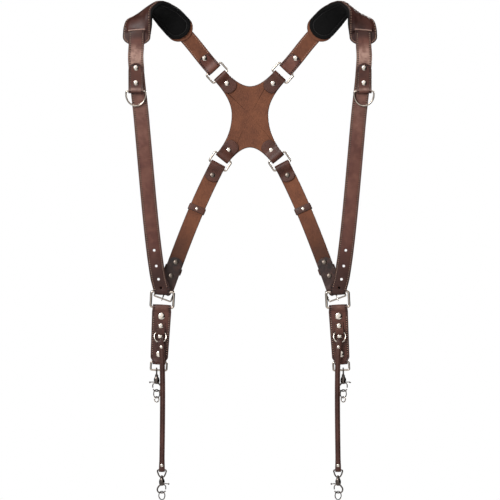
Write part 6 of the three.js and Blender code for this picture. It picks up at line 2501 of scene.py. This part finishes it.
@dataclass(frozen=True)
class Tether(Part):
    """Narrow strap from the round ring to its snap."""

    tab: HipTab
    width: float = 11.0
    head_width: float = 12.6
    foot_width: float = 12.4
    thick: float = 2.5
    fold: float = 20.0
    length: float = 266.2
    bow: float = 3.1
    skew: float = 0.6
    head_shift: float = 1.5
    foot_shift: float = 3.9
    rivets: Pair = (11.0, 9.4)
    eye_wire: float = 3.0
    small_rivet: float = 7.0

    @property
    def sag(self) -> float:
        """Fall of the round ring's line across the strap's width."""
        reach = self.head_width / 2 + self.head_shift
        return self.tab.o_radius - math.sqrt(self.tab.o_radius ** 2 - reach ** 2)

    @cached_property
    def head_radius(self) -> float:
        """Fold's radius round the ring, whose wire sags across the strap's width."""
        return self.layout.over(self.tab.o_wire + self.sag, self.thick)

    @cached_property
    def chain(self) -> Chain:
        """Line from the ring to the snap, bowed inwards by a skewed half wave.

        Returns:
            The line, downwards.
        """
        where = self.tab.ring_place()
        ring = where.origin + where.axes[1] * (self.sag / 2 - self.tab.o_radius)
        start = ring - Y_AXIS * self.head_radius - X_AXIS * self.head_shift
        end = start - Z_AXIS * self.length
        end[0] = ring[0] - self.foot_shift
        t = np.linspace(0, 1, 60)
        bow = self.bow * np.sin(np.pi * t ** self.skew)
        head = lerp(self.head_width, self.width, smooth(t / 0.14))
        width = lerp(head, self.foot_width, smooth((t - 0.9) / 0.1))
        points = start + (end - start) * t[:, None] - X_AXIS * bow[:, None]
        return level(points, X_AXIS, width / 2)

    @property
    def eye_radius(self) -> float:
        """Fold's radius round the snap's eye."""
        return self.layout.over(self.eye_wire, self.thick)

    @property
    def snap_bar(self) -> Array:
        """Middle of the snap eye's bar."""
        return self.chain.points[-1] + Y_AXIS * self.eye_radius

    def build(self, side: Side) -> None:
        """Strap, rivets and snap of one side.

        Args:
            side: the side to build.
        """
        f = self.finishes
        layer = self.thick + self.layout.gap
        folded = self.chain.folded(-1, self.eye_radius, layer, self.fold)
        whole = folded.folded_start(-1, self.head_radius, layer, self.fold)
        shell = Strap(self.thick, crown=0.15, step=1.6).shell(whole, 0.0, 0.0, [
            (60, 30, 0.1), (whole.length - 30, 60, -0.3)])
        add_piece("tether_leather", shell, f.leather(f.grain, "tether"), side)
        total = self.chain.length
        heads = [Rivet(self.small_rivet).on(self.chain.spot(d), self.thick / 2, 1)
                 for d in (self.rivets[0], total - self.rivets[1])]
        add_piece("tether_rivets", merged(*heads), f.metal(f.nickel), side)
        Snap(f, "tether").build(self.snap_bar, -X_AXIS, -X_AXIS, side)


@dataclass(frozen=True)
class HipSnap(Part):
    """Snap on the foot ring with its split ring and end ring."""

    tab: HipTab
    shift: float = 4.0
    end_ring: float = 13.5
    end_wire: float = 2.2
    end_turn: float = -40.0

    def build(self, side: Side) -> None:
        """Snap and end ring of one side.

        Args:
            side: the side to build.
        """
        lay, snap = self.layout, Snap(self.finishes, "hip")
        bar = lay.hip.put([self.shift, 0, self.tab.foot - self.tab.ring_spacing])
        bar = bar + Z_AXIS * ((self.tab.ring_wire + snap.eye_wire) / 2 + lay.gap)
        foot = snap.build(bar, Y_AXIS, X_AXIS, side)
        radius = (self.end_ring - self.end_wire) / 2
        top = foot + Z_AXIS * ((snap.split_wire + self.end_wire) / 2 + 2 * lay.gap)
        shell = wire(arc(0, 0, radius, 0, 360, 48)[1:], self.end_wire / 2, 14).placed(
            hanging(top, radius, self.end_turn))
        add_piece("hip_end_ring_wire", shell, self.finishes.metal(
            self.finishes.wire, "hip_end_ring", body="hip_snap"), side)


@dataclass(frozen=True)
class Studio:
    """Pale floor, soft lights and the camera."""

    distance: float = 11.0
    frame_width: float = 1.04
    centre: float = -0.5023
    floor: float = -1.1
    radius: float = 1.1
    floor_rings: int = 6
    floor_sides: int = 96
    floor_thick: float = 0.01
    # name, place, size and power
    lights: tuple[tuple[str, Triple, float, float], ...] = (
        ("key", (-2.0, -3.4, 1.5), 1.6, 135.0), ("top", (0.0, -0.8, 2.8), 1.6, 40.0),
        ("back", (1.4, 3.4, 0.6), 1.6, 90.0))
    # direction, and the range of its cosine with the strengths at both ends
    glows: tuple[tuple[Triple, Four], ...] = (
        ((-0.2, -0.97, 0.12), (0.5, 0.95, 0.015, 1.25)),
        ((0.66, -0.66, -0.36), (0.72, 0.93, 1.0, 0.04)))

    def camera(self) -> None:
        """Long lens at the height of the harness's middle, level and square to its front."""
        data = bpy.data.cameras.new("camera")
        data.sensor_width = 36.0
        data.lens = 36.0 * self.distance / self.frame_width
        data.clip_end = 200.0
        view = bpy.data.objects.new("camera", data)
        view.location = (0.0, -self.distance, self.centre)
        view.rotation_euler = (math.pi / 2, 0.0, 0.0)
        bpy.context.scene.collection.objects.link(view)
        bpy.context.scene.camera = view

    def light(self, name: str, place_at: Triple, size: float,
              power: float) -> None:
        """Square soft light aimed at the harness's middle.

        Args:
            name: the light's name.
            place_at: its place in metres.
            size: its width in metres.
            power: its power in watts.
        """
        data = bpy.data.lights.new(name, "AREA")
        data.shape, data.size, data.energy = "SQUARE", size, power
        lamp = bpy.data.objects.new(name, data)
        lamp.location = place_at
        aim = np.array([0.0, 0.0, self.centre]) - np.array(place_at)
        flat = math.hypot(aim[0], aim[1])
        lamp.rotation_euler = (math.pi / 2 + math.atan2(aim[2], flat), 0.0,
                               math.atan2(-aim[0], aim[1]))
        bpy.context.scene.collection.objects.link(lamp)

    def world(self) -> None:
        """White surroundings, dark behind the harness in what the metal reflects."""
        world = bpy.data.worlds.new("studio")
        bpy.context.scene.world = world
        world.use_nodes = True
        tree = world.node_tree
        back = tree.nodes["Background"]
        where = tree.nodes.new("ShaderNodeTexCoord")
        spans = []
        for aim, values in self.glows:
            dot = tree.nodes.new("ShaderNodeVectorMath")
            dot.operation = "DOT_PRODUCT"
            dot.inputs[1].default_value = aim
            tree.links.new(where.outputs["Generated"], dot.inputs[0])
            span = tree.nodes.new("ShaderNodeMapRange")
            span.interpolation_type = "SMOOTHSTEP"
            for i, value in enumerate(values):
                span.inputs[i + 1].default_value = value
            tree.links.new(dot.outputs["Value"], span.inputs[0])
            spans.append(span.outputs[0])
        both = tree.nodes.new("ShaderNodeMath")
        both.operation = "MULTIPLY"
        for i, span in enumerate(spans):
            tree.links.new(span, both.inputs[i])
        ray = tree.nodes.new("ShaderNodeLightPath")
        pick = tree.nodes.new("ShaderNodeMix")
        tree.links.new(ray.outputs["Is Camera Ray"], pick.inputs[0])
        tree.links.new(both.outputs[0], pick.inputs[2])
        pick.inputs[3].default_value = 1.0
        tree.links.new(pick.outputs[0], back.inputs["Strength"])
        back.inputs["Color"].default_value = (1.0, 1.0, 1.0, 1.0)

    def build(self) -> None:
        """Camera, lights, surroundings and floor."""
        self.camera()
        self.world()
        for light in self.lights:
            self.light(*light)
        rings = np.linspace(0.05, 1.0, self.floor_rings)[:, None] * self.radius
        angle = np.linspace(0, 2 * np.pi, self.floor_sides, endpoint=False)[None, :]
        rows = np.stack([rings * np.cos(angle), rings * np.sin(angle),
                         rings * 0 + angle * 0 + self.floor], -1) / MM
        under = rows[::-1] - Z_AXIS * self.floor_thick / MM
        shell = grid(np.concatenate([rows, under]),
                     np.zeros((2 * self.floor_rings, self.floor_sides + 1, 2)))
        g = Graph("floor")
        cloud = g.noise(g.coordinate("Object"), 3, 3)
        g.set(Base_Color=g.blend(cloud, linear(244, 244, 244), linear(248, 248, 248)),
              Roughness=0.85)
        floor = make_mesh("floor", shell, [g.material])
        scene = bpy.context.scene
        scene.view_settings.view_transform = "Standard"
        scene.view_settings.look = "None"


def main() -> None:
    """Builds every sub-assembly in order."""
    logging.basicConfig(level=logging.INFO, format="%(message)s")
    layout, finishes = Layout(), Finishes()
    tab = HipTab(layout, finishes)
    Studio().build()
    Yoke(layout, finishes).build()
    paired = [ShoulderStrap(layout, finishes), Pad(layout, finishes), BackStrap(layout, finishes),
              Rings(layout, finishes), ChestTab(layout, finishes), tab,
              Tether(layout, finishes, tab), HipSnap(layout, finishes, tab)]
    for side in Side:
        for part in paired:
            part.build(side)


if __name__ == "__main__":
    main()
